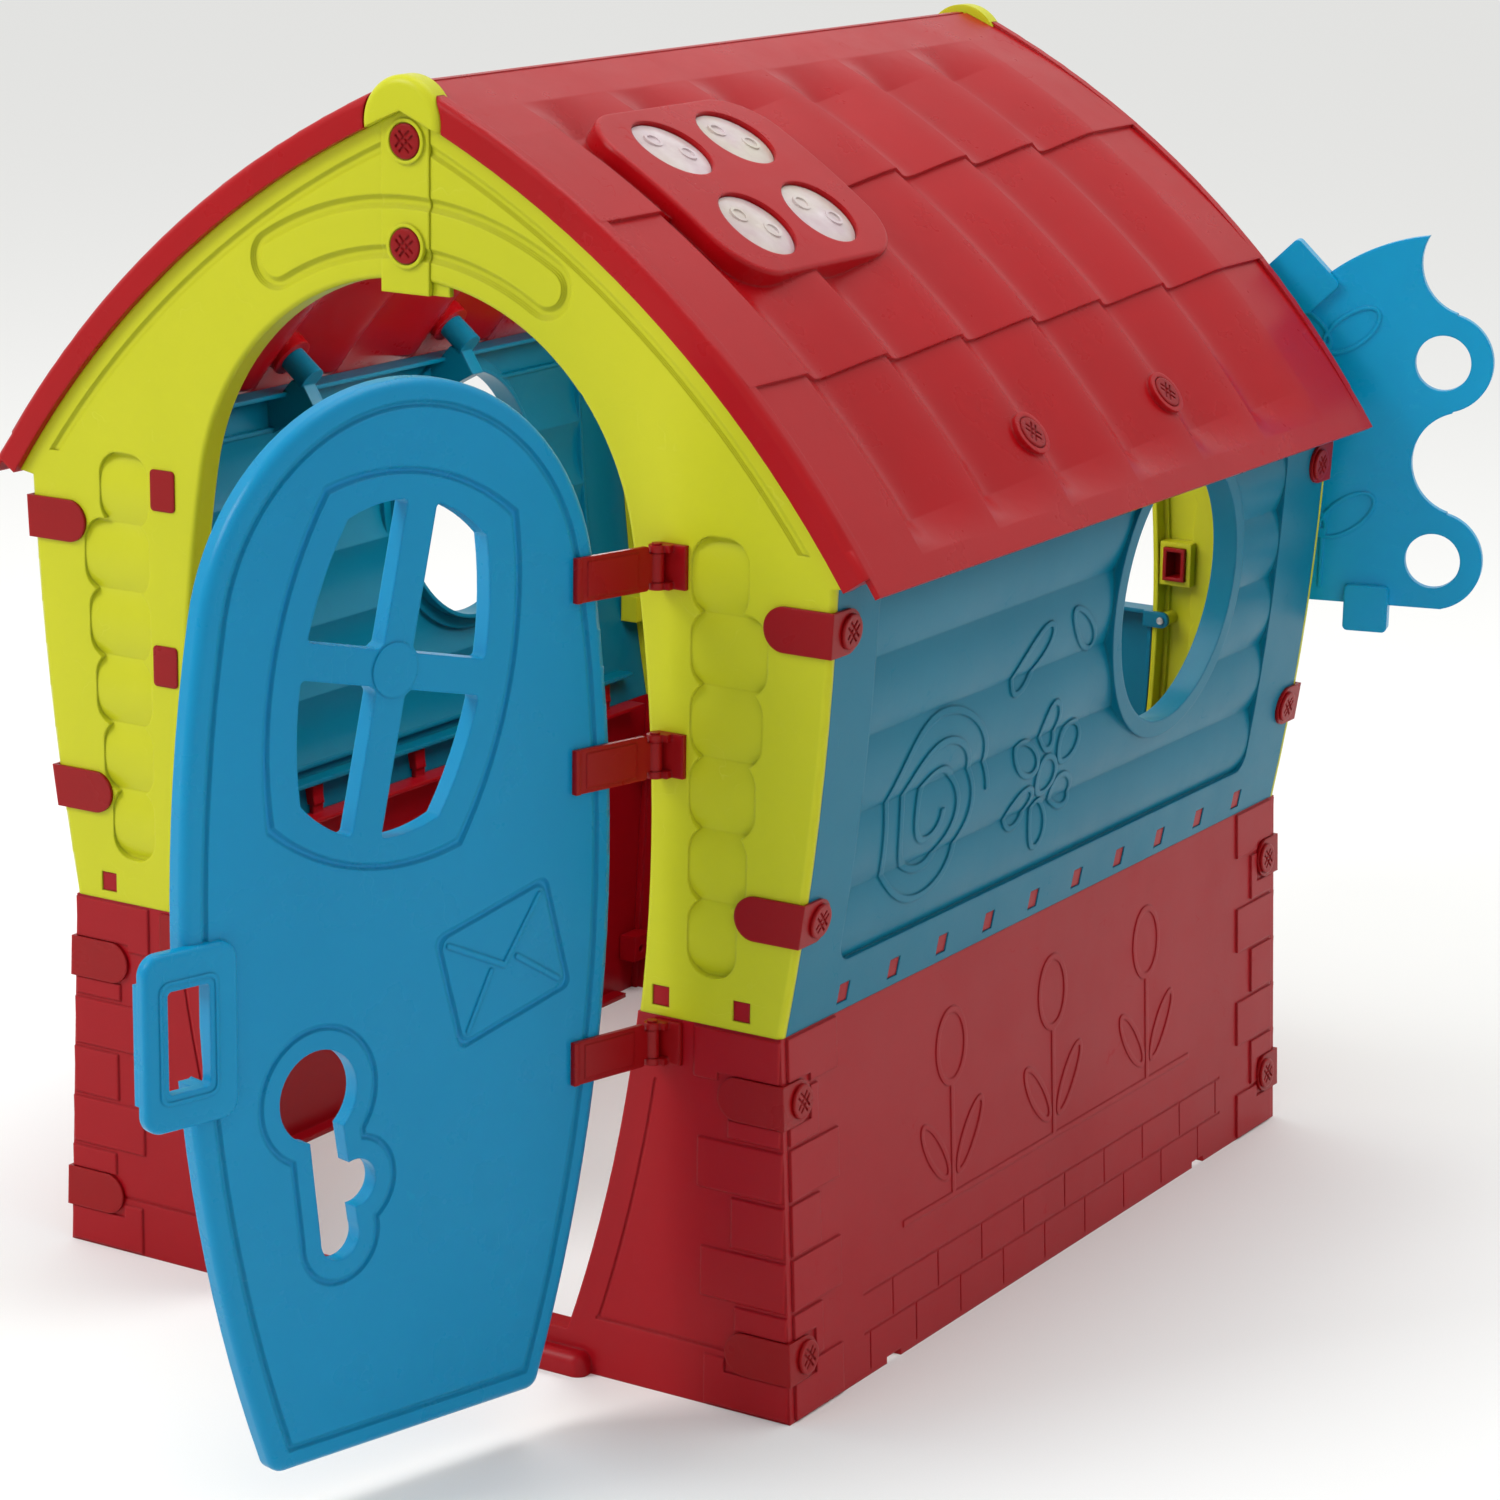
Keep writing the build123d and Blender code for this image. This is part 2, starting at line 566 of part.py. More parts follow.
def spiral_stroke(y, z, radius, width):
    """Spiral line of shrinking half circles about two centres, as a face of the given width."""
    step = 13.0
    halves = []
    side = 1
    while radius > 16:
        halves.append((y, radius, side))
        y -= side * step
        radius -= step
        side = -side
    half_width = width / 2
    y0, r0, _ = halves[0]
    outline = [(y0 + r0 + half_width, z)]
    for cy, r, side in halves:
        reach = r + half_width
        outline.append([(cy, z + side * reach), (cy - side * reach, z)])
    cy, r, side = halves[-1]
    outline.append((cy - side * (r - half_width), z))
    for cy, r, side in reversed(halves):
        reach = r - half_width
        outline.append([(cy, z + side * reach), (cy + side * reach, z)])
    return arc_face(outline)


def roof_screw_ys():
    pitch = (HOUSE_LENGTH + 4 - 2 * ROOF_END_BAND) / TILE_COLUMNS
    return (-pitch, pitch)


ROOF_SCREW_ARC = 513.0
BRACKET_RADIUS = ROOF_RADIUS - TILE_DEPTH - ROOF_SKIN - 2


def on_slope(arc, radius):
    """Frame at a point of the right slope: x along +Y, y down the slope, z out of the roof."""
    a = radians(RIDGE_ANGLE) + arc / ROOF_RADIUS
    origin = (radius * sin(a) - ROOF_CENTRE_X, 0, ROOF_Z0 + radius * cos(a))
    return Plane(origin=origin, x_dir=(0, 1, 0), z_dir=(sin(a), 0, cos(a)))


def roof_bracket(y):
    """Bracket on top of the side wall that a roof screw pulls down on."""
    at = on_slope(ROOF_SCREW_ARC, BRACKET_RADIUS).location
    post = at * Pos(y, 0, -15) * Cylinder(13, 30)
    hole = at * Pos(y, 0, -9) * Cylinder(SCREW_HOLE / 2, 20)
    top = SHOULDER_Z + WALL_TOP_RISE
    x1 = wall_x(top)
    web = polygon((wall_x(top - 45, SKIN - 1), top - 45), (x1 - 62, top - 14), (x1 - 48, top + 8),
                  (x1 - 34, top + 12), (x1 - 22, top - 1), (x1 - 3, top - 1))
    return post + slab(web, y - 9, y + 9) - hole


def side_tongue_ys():
    first = -TONGUE_PITCH * (TONGUES_PER_SIDE - 1) / 2
    return [first + i * TONGUE_PITCH for i in range(TONGUES_PER_SIDE)]


# ---------------------------------------------------------------- base walls
QUOIN_COURSES = 7


def quoin_rects():
    """Corner stones as (length, z0, z1), alternately long and short."""
    pitch = BASE_HEIGHT / QUOIN_COURSES
    rects = []
    for i in range(QUOIN_COURSES):
        z0 = i * pitch + 2
        z1 = (i + 1) * pitch - 2
        length = 84 if i % 2 == 0 else 52
        rects.append((length, z0, z1))
    return rects


def end_base(with_doorway):
    """Red base wall under a gable, front view."""
    outline = polygon((-FOOT_X, 0), (FOOT_X, 0), (WAIST_X, BASE_HEIGHT), (-WAIST_X, BASE_HEIGHT))
    wall = slab(outline, FRONT_Y, FRONT_Y + SKIN)
    edge = outline - polygon((-FOOT_X + EDGE_BAND, -1), (FOOT_X - EDGE_BAND, -1),
                             (WAIST_X - EDGE_BAND, BASE_HEIGHT + 1), (-WAIST_X + EDGE_BAND, BASE_HEIGHT + 1))
    wall += slab(edge, FRONT_Y, INNER_Y)
    ledge_x = WAIST_X - SKIN - 30
    wall += block(-ledge_x, ledge_x, FRONT_Y, FLANGE_Y, BASE_HEIGHT - SKIN, BASE_HEIGHT)
    wall += block(-FOOT_X + 34, FOOT_X - 34, FRONT_Y, FRONT_Y + 18, 0, 5)
    if with_doorway:
        wall -= slab(doorway_face(-FLANGE_SKIN, -10), FRONT_Y - 1, FLANGE_Y + 1) \
            & block(-600, 600, -600, 0, SILL_HEIGHT - 5, BASE_HEIGHT + 20)
        jamb = doorway_face(-FLANGE_SKIN, 0) - doorway_face(0, -1)
        wall += slab(jamb, FRONT_Y, FLANGE_Y) & block(-600, 600, -600, 0, 0, BASE_HEIGHT)
        sill_x = side_arc_x(SILL_HEIGHT) + 3
        wall += block(-sill_x, sill_x, FRONT_Y, FLANGE_Y, SILL_HEIGHT - 5, SILL_HEIGHT)
        wall += block(-sill_x, sill_x, FLANGE_Y - 4, FLANGE_Y, 0, SILL_HEIGHT)
        step = block(-sill_x - 22, sill_x + 22, FRONT_Y - STEP_DEPTH, FRONT_Y + 1, 0, STEP_HEIGHT)
        step = fillet(step.edges().filter_by(Axis.X).group_by(Axis.Z)[-1].sort_by(Axis.Y)[0], 9)
        step = fillet(step.edges().filter_by(Axis.Z).sort_by(Axis.Y)[:2], 10)
        wall += step
    for place in (lambda s: s, mirrored):
        for length, z0, z1 in quoin_rects():
            x1 = base_x((z0 + z1) / 2) - 1
            stone = block(x1 - length, x1, FRONT_Y - 2, FRONT_Y + 1, z0, z1)
            stone = fillet(stone.edges().group_by(Axis.Y)[0], 1.6)
            wall += place(stone)
        if with_doorway:
            wall -= place(jamb_groove())
            hole = block(SLOT_X - SLOT_WIDTH / 2, SLOT_X + SLOT_WIDTH / 2, FRONT_Y - 4, FLANGE_Y + 1,
                         HINGE_LOWER_Z - SLOT_HEIGHT / 2, HINGE_LOWER_Z + SLOT_HEIGHT / 2)
            wall += place(block(SLOT_X - 17, SLOT_X + 17, FRONT_Y + 1, FLANGE_Y - 2,
                                HINGE_LOWER_Z - 22, BASE_HEIGHT - SKIN))
            wall -= place(hole)
        for x in tongue_xs():
            wall += place(end_tongue(x))
        for z in BASE_CLIP_ZS:
            wall += place(corner_lug(base_x, z))
            wall -= place(clip_seat(base_x, z))
            wall -= place(corner_bore(base_x, z))
    return wall


def jamb_groove():
    """Shallow line beside the doorway and above the foot."""
    z0 = 52
    line = doorway_face(-27, z0) - doorway_face(-24, z0 - 1)
    strip = line & Pos(400, z0 + 115) * Rectangle(800, 230)
    strip += Pos((side_arc_x(z0) + 24 + FOOT_X - 62) / 2, z0 + 1.5) * Rectangle(
        FOOT_X - 62 - side_arc_x(z0) - 24, 3)
    return slab(strip, FRONT_Y - 1, FRONT_Y + 1.2)


def end_tongue(x):
    """Tongue behind the gable, with the catch that fills the gable's slot."""
    half = TONGUE_WIDTH / 2
    tongue = block(x - half, x + half, FRONT_Y + SKIN + 0.3, INNER_Y + 1, BASE_HEIGHT - 1,
                   BASE_HEIGHT + TONGUE_RISE)
    catch = block(x - half, x + half, FRONT_Y + 1, INNER_Y, TONGUE_Z - 8.5, TONGUE_Z + 8.5)
    return tongue + catch


def side_base():
    """Red base wall under a side wall, +X side."""
    end = -INNER_Y
    wall = slab(base_band(0, SKIN, 0, BASE_HEIGHT), -end, end)
    wall += slab(base_band(0, 26, BASE_HEIGHT - SKIN, BASE_HEIGHT), -end + 36, end - 36)
    wall += slab(base_band(0, 20, 0, 5), -end + 36, end - 36)
    for y in side_tongue_ys():
        half = TONGUE_WIDTH / 2
        x1 = wall_x(BASE_HEIGHT, SKIN) - 0.5
        wall += block(x1 - 4.5, x1, y - half, y + half, BASE_HEIGHT - 1, BASE_HEIGHT + TONGUE_RISE)
        catch = slab(upper_band(1, 12, TONGUE_Z - 8.5, TONGUE_Z + 8.5), y - half, y + half)
        wall += catch
    for side in (-1, 1):
        for length, z0, z1 in quoin_rects():
            y1 = side * (end - 1)
            y0 = y1 - side * (length - 6)
            stone = slab(base_band(-2, 1, z0, z1), min(y0, y1), max(y0, y1))
            wall += stone
        for z in BASE_CLIP_ZS:
            cut = clip_seat(base_x, z) + corner_bore(base_x, z)
            wall -= cut if side < 0 else mirror(cut, about=Plane.XZ)
    joints = None
    for row in range(2):
        for i in range(9):
            y = -340 + 80 * i + 40 * row
            if y > 350:
                continue
            mark = Pos(y, 22 + 36 * row) * Rectangle(2.5, 34)
            joints = mark if joints is None else joints + mark
    for z in (40, 76):
        joints += Pos(0, z) * Rectangle(700, 2.5)
    cut = slab_x(joints, 0, 600) & slab(base_band(-4, 0.7, 2, 90), -380, 380)
    wall -= cut
    for y0 in (-300, 300):
        wall -= block(0, 600, y0 - 12, y0 + 12, -1, 6)
    wall += slab_x(base_relief(), 200, 600) & slab(base_band(-BASE_RELIEF, 1, 100, 320), -330, 330)
    return wall


def base_relief():
    """Raised outlines: a rail and three tulips."""
    strokes = Pos(0, 118) * Rectangle(560, 6)
    for y in (-190, 0, 190):
        strokes += Pos(y, 256) * ellipse_ring(28, 36, 6)
        strokes += Pos(y, 171) * Rectangle(6, 108)
        strokes += Pos(y + 31, 166) * Rot(0, 0, 52) * ellipse_ring(38, 14, 5.5)
        strokes += Pos(y - 31, 166) * Rot(0, 0, -52) * ellipse_ring(38, 14, 5.5)
    return strokes


# ---------------------------------------------------------------- corner clips
def clip_seat(line, z):
    """Flat seat cut through the corner stones for a base clip."""
    front = block(line(z) - CLIP_FRONT - 1, 600, FRONT_Y - 5, FRONT_Y, z - CLIP_HEIGHT / 2 - 1,
                  z + CLIP_HEIGHT / 2 + 1)
    band = base_band(-20, 0, z - CLIP_HEIGHT / 2 - 1, z + CLIP_HEIGHT / 2 + 1)
    side = slab(band, FRONT_Y - 5, FRONT_Y + CLIP_SIDE + 1)
    return front + side


def corner_clip(band, line, z):
    """Clip round the front right corner: one arm on the gable, one on the side wall."""
    half = CLIP_HEIGHT / 2
    z0, z1 = z - half, z + half
    arm_x = line(z) - CLIP_FRONT
    front_shape = Pos(arm_x + 200, z) * RectangleRounded(400, CLIP_HEIGHT, half - 0.01)
    front = slab(front_shape, FRONT_Y - CLIP_SKIN, FRONT_Y)
    front &= slab(band(-CLIP_SKIN, 200, z0 - 1, z1 + 1), FRONT_Y - 10, 0)
    side_shape = Pos(FRONT_Y + CLIP_SIDE - 200, z) * RectangleRounded(400, CLIP_HEIGHT, half - 0.01)
    side = slab(band(-CLIP_SKIN, 0, z0 - 1, z1 + 1), FRONT_Y - CLIP_SKIN, 0)
    side &= slab_x(side_shape, 0, 600)
    clip = front + side
    clip -= corner_bore(line, z)
    return clip


def on_clip(line, z):
    """Place on the side arm of a corner clip, with +Z square out of the leaning wall."""
    lean = degrees(atan2(line(z + 15) - line(z - 15), 30))
    return Pos(line(z, -CLIP_SKIN) + 0.02, FRONT_Y + CLIP_SIDE - 17, z) * Rot(0, 90 + lean, 0)


def clip_screw(line, z):
    return on_clip(line, z) * screw(20)


def corner_bore(line, z):
    """Clearance bore for a corner screw, through the clip, the wall and the lug."""
    return on_clip(line, z) * Cylinder(SCREW_HOLE / 2, 70)


def group(pieces):
    """Separate pieces as one node."""
    return Compound([solid for piece in pieces for solid in piece.solids()])


def all_corners(solids):
    """Front right pieces copied to the four corners."""
    right_back = [mirror(s, about=Plane.XZ) for s in solids]
    return {
        "front_right": solids,
        "front_left": [mirrored(s) for s in solids],
        "back_right": right_back,
        "back_left": [mirrored(s) for s in right_back],
    }


# ---------------------------------------------------------------- roof
def roof_angle(arc):
    return RIDGE_ANGLE + degrees(arc / ROOF_RADIUS)


def roof_section(drop, wave, skin=ROOF_SKIN):
    """Roof section across the tiles, in (y, radius): flat ends, pantile waves between."""
    half = HOUSE_LENGTH / 2 + 2
    start = -(half - ROOF_END_BAND)
    pitch = 2 * -start / TILE_COLUMNS
    shape = ((0.0, 0.0), (0.09, -0.45), (0.22, -1.0), (0.45, -0.86), (0.75, -0.3), (1.0, 0.0))
    r = ROOF_RADIUS + drop
    outer = [Line((-half, r), (start, r))]
    for i in range(TILE_COLUMNS):
        y = start + i * pitch
        outer.append(Spline(*[(y + t * pitch, r + d * wave) for t, d in shape]))
    outer.append(Line((-start, r), (half, r)))
    inner = [e.moved(Location((0, -skin, 0))) for e in outer]
    ends = [Line((-half, r), (-half, r - skin)), Line((half, r), (half, r - skin))]
    return make_face(outer + inner + ends)


def section_at(face, angle, centre):
    a = radians(angle)
    plane = Plane(origin=(centre[0], 0, centre[1]), x_dir=(0, 1, 0), z_dir=(cos(a), 0, -sin(a)))
    return plane * face


def swept(face, a0, a1, centre):
    """Turns a roof section about the slope's axis, from angle a0 to a1 off vertical."""
    axis = Axis((centre[0], 0, centre[1]), (0, 1, 0))
    return revolve(section_at(face, a0, centre), axis, a1 - a0)


def ramp(face0, face1, a0, a1, centre):
    return loft([section_at(face0, a0, centre), section_at(face1, a1, centre)])


def from_axis(point):
    """Distance of a point from the axis of the right slope."""
    return sqrt((point.X + ROOF_CENTRE_X)**2 + (point.Z - ROOF_Z0)**2)


def skylight_frame():
    return on_slope(SKYLIGHT_ARC, ROOF_RADIUS)


def skylight_prism(inset, low, high):
    shape = RectangleRounded(SKYLIGHT_LENGTH - 2 * inset, SKYLIGHT_SLOPE - 2 * inset, 52 - inset)
    plane = skylight_frame().offset(low)
    return extrude(plane * Pos(SKYLIGHT_Y, 0) * shape, amount=high - low)


def lens_places():
    places = []
    for dy in (-LENS_PITCH_Y / 2, LENS_PITCH_Y / 2):
        for ds in (-LENS_PITCH_ARC / 2, LENS_PITCH_ARC / 2):
            places.append(on_slope(SKYLIGHT_ARC + ds, ROOF_RADIUS).location * Pos(SKYLIGHT_Y + dy, 0, 0))
    return places


def roof_half():
    """Right slope of the roof: three rows of pantiles, end bands, rims, ridge lip and skylight pad."""
    centre = (-ROOF_CENTRE_X, ROOF_Z0)
    stops = [roof_angle(0) - 0.6] + [roof_angle(a) for a in ROW_ARCS] + [EAVE_ANGLE]
    flat_end = roof_angle(40)
    wave_start = roof_angle(84)
    wave_end = roof_angle(532)
    skirt = roof_angle(566)
    roof = None
    for i in range(3):
        a0, a1 = stops[i], stops[i + 1]
        half = radians(a1 - a0) / 2
        shift = ROW_STEP / 2 / sin(half)
        mid = radians(a0 + a1) / 2
        here = (centre[0] + shift * cos(mid), centre[1] - shift * sin(mid))
        flat = roof_section(0, 0.001)
        wavy = roof_section(0, TILE_DEPTH)
        lip = 0.0 if i == 2 else 0.28
        if i == 0:
            pieces = swept(roof_section(0, 0.001), a0, flat_end, here)
            pieces += ramp(flat, wavy, flat_end, wave_start, here)
            pieces += swept(wavy, wave_start, a1 + lip, here)
        elif i == 1:
            pieces = swept(wavy, a0, a1 + lip, here)
        else:
            pieces = swept(wavy, a0, wave_end, here)
            pieces += ramp(wavy, flat, wave_end, skirt, here)
            pieces += swept(flat, skirt, a1, here)
        roof = pieces if roof is None else roof + pieces

    rim_low = SEAT_RADIUS
    rim_high = ROOF_RADIUS + ROW_STEP / 2
    rim_y = FRONT_Y - RIM_OVERHANG
    rim_face = Pos(rim_y + RIM_WIDTH / 2, (rim_low + rim_high) / 2) * Rectangle(RIM_WIDTH, rim_high - rim_low)
    rim_face = fillet(rim_face.vertices().sort_by(Axis.X)[:2].sort_by(Axis.Y)[-1], 7)
    back_face = mirror(rim_face, about=Plane.YZ)
    for face in (rim_face, back_face):
        roof += swept(face, roof_angle(0) + 0.5, EAVE_ANGLE, centre)
    eave_face = Pos(0, ROOF_RADIUS - 8) * Rectangle(HOUSE_LENGTH, 14)
    roof += swept(eave_face, EAVE_ANGLE - 0.25, EAVE_ANGLE, centre)
    lip = block(0.3, 4.3, FRONT_Y + 16, -FRONT_Y - 16, RIDGE_Z - 30, RIDGE_Z - 3)
    roof += lip

    roof -= skylight_prism(3, -60, 60)
    pad = swept(Pos(SKYLIGHT_Y, ROOF_RADIUS - 7) * Rectangle(400, 2 * (PAD_PROUD + 7)),
                roof_angle(60), roof_angle(350), centre)
    hollow = swept(Pos(SKYLIGHT_Y, ROOF_RADIUS - 21) * Rectangle(420, 2 * (PAD_PROUD + 16)),
                   roof_angle(60), roof_angle(350), centre)
    pad &= skylight_prism(0, -60, 60)
    crown = [e for e in pad.edges() if abs(from_axis(e.center()) - ROOF_RADIUS - PAD_PROUD) < 1.5]
    pad = fillet(crown, 3.5) - (hollow & skylight_prism(ROOF_SKIN, -60, 60))
    roof += pad
    for place in lens_places():
        roof -= place * Cylinder(LENS_DIAMETER / 2 + 1, 60)

    for y in roof_screw_ys():
        seat = on_slope(ROOF_SCREW_ARC, BRACKET_RADIUS).location * Pos(y, 0, 0)
        height = ROOF_RADIUS - BRACKET_RADIUS + 4
        ring = Cylinder(SCREW_HEAD / 2 + 6, height) - Pos(0, 0, height / 2) * Cylinder(SCREW_HEAD / 2 + 1, 4)
        roof += seat * Pos(0, 0, height / 2) * ring
        roof -= seat * Pos(0, 0, height / 2) * Cylinder(SCREW_HOLE / 2, height + 2)

    roof -= block(-600, 0.3, -600, 600, 0, RIDGE_Z + 60)
    for side in (-1, 1):
        y = side * (-FRONT_Y)
        ends = sorted((y - side * 11.3, y + side * 30))
        roof -= rod_y(0, RIDGE_Z - 36, 40.3, *ends)
    return roof


def roof_screws():
    height = ROOF_RADIUS - BRACKET_RADIUS + 2
    found = []
    for y in roof_screw_ys():
        seat = on_slope(ROOF_SCREW_ARC, BRACKET_RADIUS).location * Pos(y, 0, height)
        found.append(seat * screw(height + 14))
    return found


def lens_insert():
    """Clear moulding held under the skylight pad, with a low dome in each round hole."""
    centre = (-ROOF_CENTRE_X, ROOF_Z0)
    low = ROOF_RADIUS + PAD_PROUD - ROOF_SKIN
    plate = swept(Pos(SKYLIGHT_Y, low - 1.6) * Rectangle(400, 2.8), roof_angle(60), roof_angle(350), centre)
    insert = plate & skylight_prism(ROOF_SKIN + 1.5, -60, 60)
    for place in lens_places():
        dome = place * Pos(0, 0, low - ROOF_RADIUS) * Cylinder(LENS_DIAMETER / 2, 12)
        ball = place * Pos(0, 0, PAD_PROUD - 1.5 - 220) * Sphere(220)
        insert += dome & ball
        for dx, dy in ((13, -9), (-11, 14)):
            ring = Cylinder(9, 5) - Cylinder(6.2, 6)
            insert += place * Pos(dx, dy, PAD_PROUD - 3.2) * ring
    return insert


# ---------------------------------------------------------------- hinges
def hinge_bracket(z):
    """Fixed half of a hinge: a plate with two lugs in front, a barbed tail through the slot."""
    half = HINGE_HEIGHT / 2
    plate = block(HINGE_X - 5, SLOT_X + 14, FRONT_Y - 5, FRONT_Y, z - half, z + half)
    tail = block(SLOT_X - SLOT_WIDTH / 2 + SLOT_PLAY, SLOT_X + SLOT_WIDTH / 2 - SLOT_PLAY,
                 FRONT_Y, FLANGE_Y + 2, z - SLOT_HEIGHT / 2 + SLOT_PLAY, z + SLOT_HEIGHT / 2 - SLOT_PLAY)
    tail -= block(SLOT_X - 8, SLOT_X + 8, FRONT_Y + 6, 0, z - 13, z + 13)
    bracket = plate + tail
    lug = Pos(HINGE_X, HINGE_Y) * Circle(7)
    lug += Pos(HINGE_X + 3.5, (HINGE_Y + FRONT_Y - 4) / 2) * Rectangle(17, FRONT_Y - 4 - HINGE_Y)
    lug -= Pos(HINGE_X, HINGE_Y) * Circle(PIN_DIAMETER / 2)
    for z0 in (z - half, z + half - 6):
        bracket += Pos(0, 0, z0) * extrude(lug, amount=6)
    return bracket


def hinge_pin(z):
    half = HINGE_HEIGHT / 2
    pin = Pos(HINGE_X, HINGE_Y, z) * Cylinder(PIN_DIAMETER / 2, HINGE_HEIGHT)
    head = Pos(HINGE_X, HINGE_Y, z + half + 0.8) * Cylinder(4.4, 1.6)
    return pin + head


def hinge_strap(z):
    """Moving half, drawn closed: knuckle, long plate over the panel and a hook through its slot."""
    gap = 0.4
    knuckle_half = HINGE_HEIGHT / 2 - 6 - gap
    knuckle = Circle(6.2) - Circle(PIN_DIAMETER / 2 + PIN_PLAY)
    neck = Pos(-6.5, 0) * Rectangle(11, STRAP_SKIN) - Circle(PIN_DIAMETER / 2 + PIN_PLAY)
    strap = Pos(HINGE_X, HINGE_Y, z - knuckle_half) * extrude(knuckle + neck, amount=2 * knuckle_half)
    y0 = HINGE_Y - STRAP_SKIN / 2
    plate = Pos(HINGE_X - (10 + STRAP_LENGTH) / 2, z) * RectangleRounded(
        STRAP_LENGTH - 10, HINGE_HEIGHT, 3)
    strap += slab(plate, y0, y0 + STRAP_SKIN)
    lip_x = HINGE_X - STRAP_LENGTH
    half = HINGE_HEIGHT / 2
    strap += block(lip_x, lip_x + 5, y0 - 1.5, y0 + STRAP_SKIN, z - half, z + half)
    strap += block(lip_x + 12, HINGE_X - 22, y0 - 0.8, y0 + 1, z - half + 4, z + half - 4)
    panel_y = y0 + STRAP_SKIN
    hook_x = HINGE_X - 67
    strap += block(hook_x - 4, hook_x, panel_y - 1, panel_y + SKIN + 3, z - 11, z + 11)
    strap += block(hook_x - 13, hook_x, panel_y + SKIN + 0.2, panel_y + SKIN + 3, z - 11, z + 11)
    return strap


def panel_slot(z):
    panel_y = HINGE_Y + STRAP_SKIN / 2
    hook_x = HINGE_X - 67
    return block(hook_x - 14, hook_x + 0.3, panel_y - 1, panel_y + SKIN + 3.2, z - 11.4, z + 11.4)


def slot_plug(z):
    """Blanking plug for a hinge slot that is not used."""
    plug = block(SLOT_X - 13.5, SLOT_X + 13.5, FRONT_Y - 1.2, FRONT_Y, z - 18.5, z + 18.5)
    plug = fillet(plug.edges().filter_by(Axis.Y), 4)
    tail = block(SLOT_X - SLOT_WIDTH / 2 + SLOT_PLAY, SLOT_X + SLOT_WIDTH / 2 - SLOT_PLAY,
                 FRONT_Y, FLANGE_Y + 2, z - SLOT_HEIGHT / 2 + SLOT_PLAY, z + SLOT_HEIGHT / 2 - SLOT_PLAY)
    tail -= block(SLOT_X - 8, SLOT_X + 8, FRONT_Y + 4, 0, z - 13, z + 13)
    return plug + tail


def swing(solid, sign_y, degrees_open):
    """Turns a closed piece about its hinge pin. sign_y is -1 at the front, +1 at the back."""
    axis = Axis((HINGE_X, sign_y * -HINGE_Y, 0), (0, 0, 1))
    return solid.rotate(axis, -sign_y * degrees_open)


# ---------------------------------------------------------------- door
DOOR_FACE_Y = HINGE_Y + STRAP_SKIN / 2
DOOR_BACK_Y = DOOR_FACE_Y + DOOR_DEPTH
PANE_TILT = -12.5


def barrel_face(half_w, half_h, bulge_w, bulge_h):
    """Bowed rectangle: corner to corner arcs on all four sides."""
    cx, cz = half_w - bulge_w, half_h - bulge_h
    return arc_face([(cx, -cz), [(half_w, 0), (cx, cz)], [(0, half_h), (-cx, cz)],
                     [(-half_w, 0), (-cx, -cz)], [(0, -half_h), (cx, -cz)]])


def door_outline(inset):
    low = DOOR_BOTTOM_Z + inset
    face = doorway_face(DOOR_GAP + inset, low)
    return fillet(face.vertices().group_by(Axis.Y)[0], max(14 - inset, 3))


def key_face(grow):
    """Keyhole: a round eye over a stem with two rounded bits."""
    cx, cz = -90, DOOR_BOTTOM_Z + 307
    face = Pos(cx, cz) * Circle(38 + grow)
    face += polygon((cx - 12 - grow, cz - 10), (cx + 21 + grow, cz - 10), (cx + 39 + grow, cz - 122),
                    (cx + 1 - grow, cz - 122))
    face += Pos(cx + 20, cz - 122) * Circle(19.1 + grow)
    face += Pos(cx + 36, cz - 80) * Circle(20 + grow)
    return face


def handle_faces():
    x0, x1 = -(DOORWAY_X + 10), -170
    z0, z1 = DOOR_BOTTOM_Z + 312, DOOR_BOTTOM_Z + 454
    plate = Pos((x0 + x1) / 2, (z0 + z1) / 2) * RectangleRounded(x1 - x0, z1 - z0, 16)
    grip = Pos(-217, (z0 + z1) / 2) * RectangleRounded(39, 82, 4)
    return plate, grip


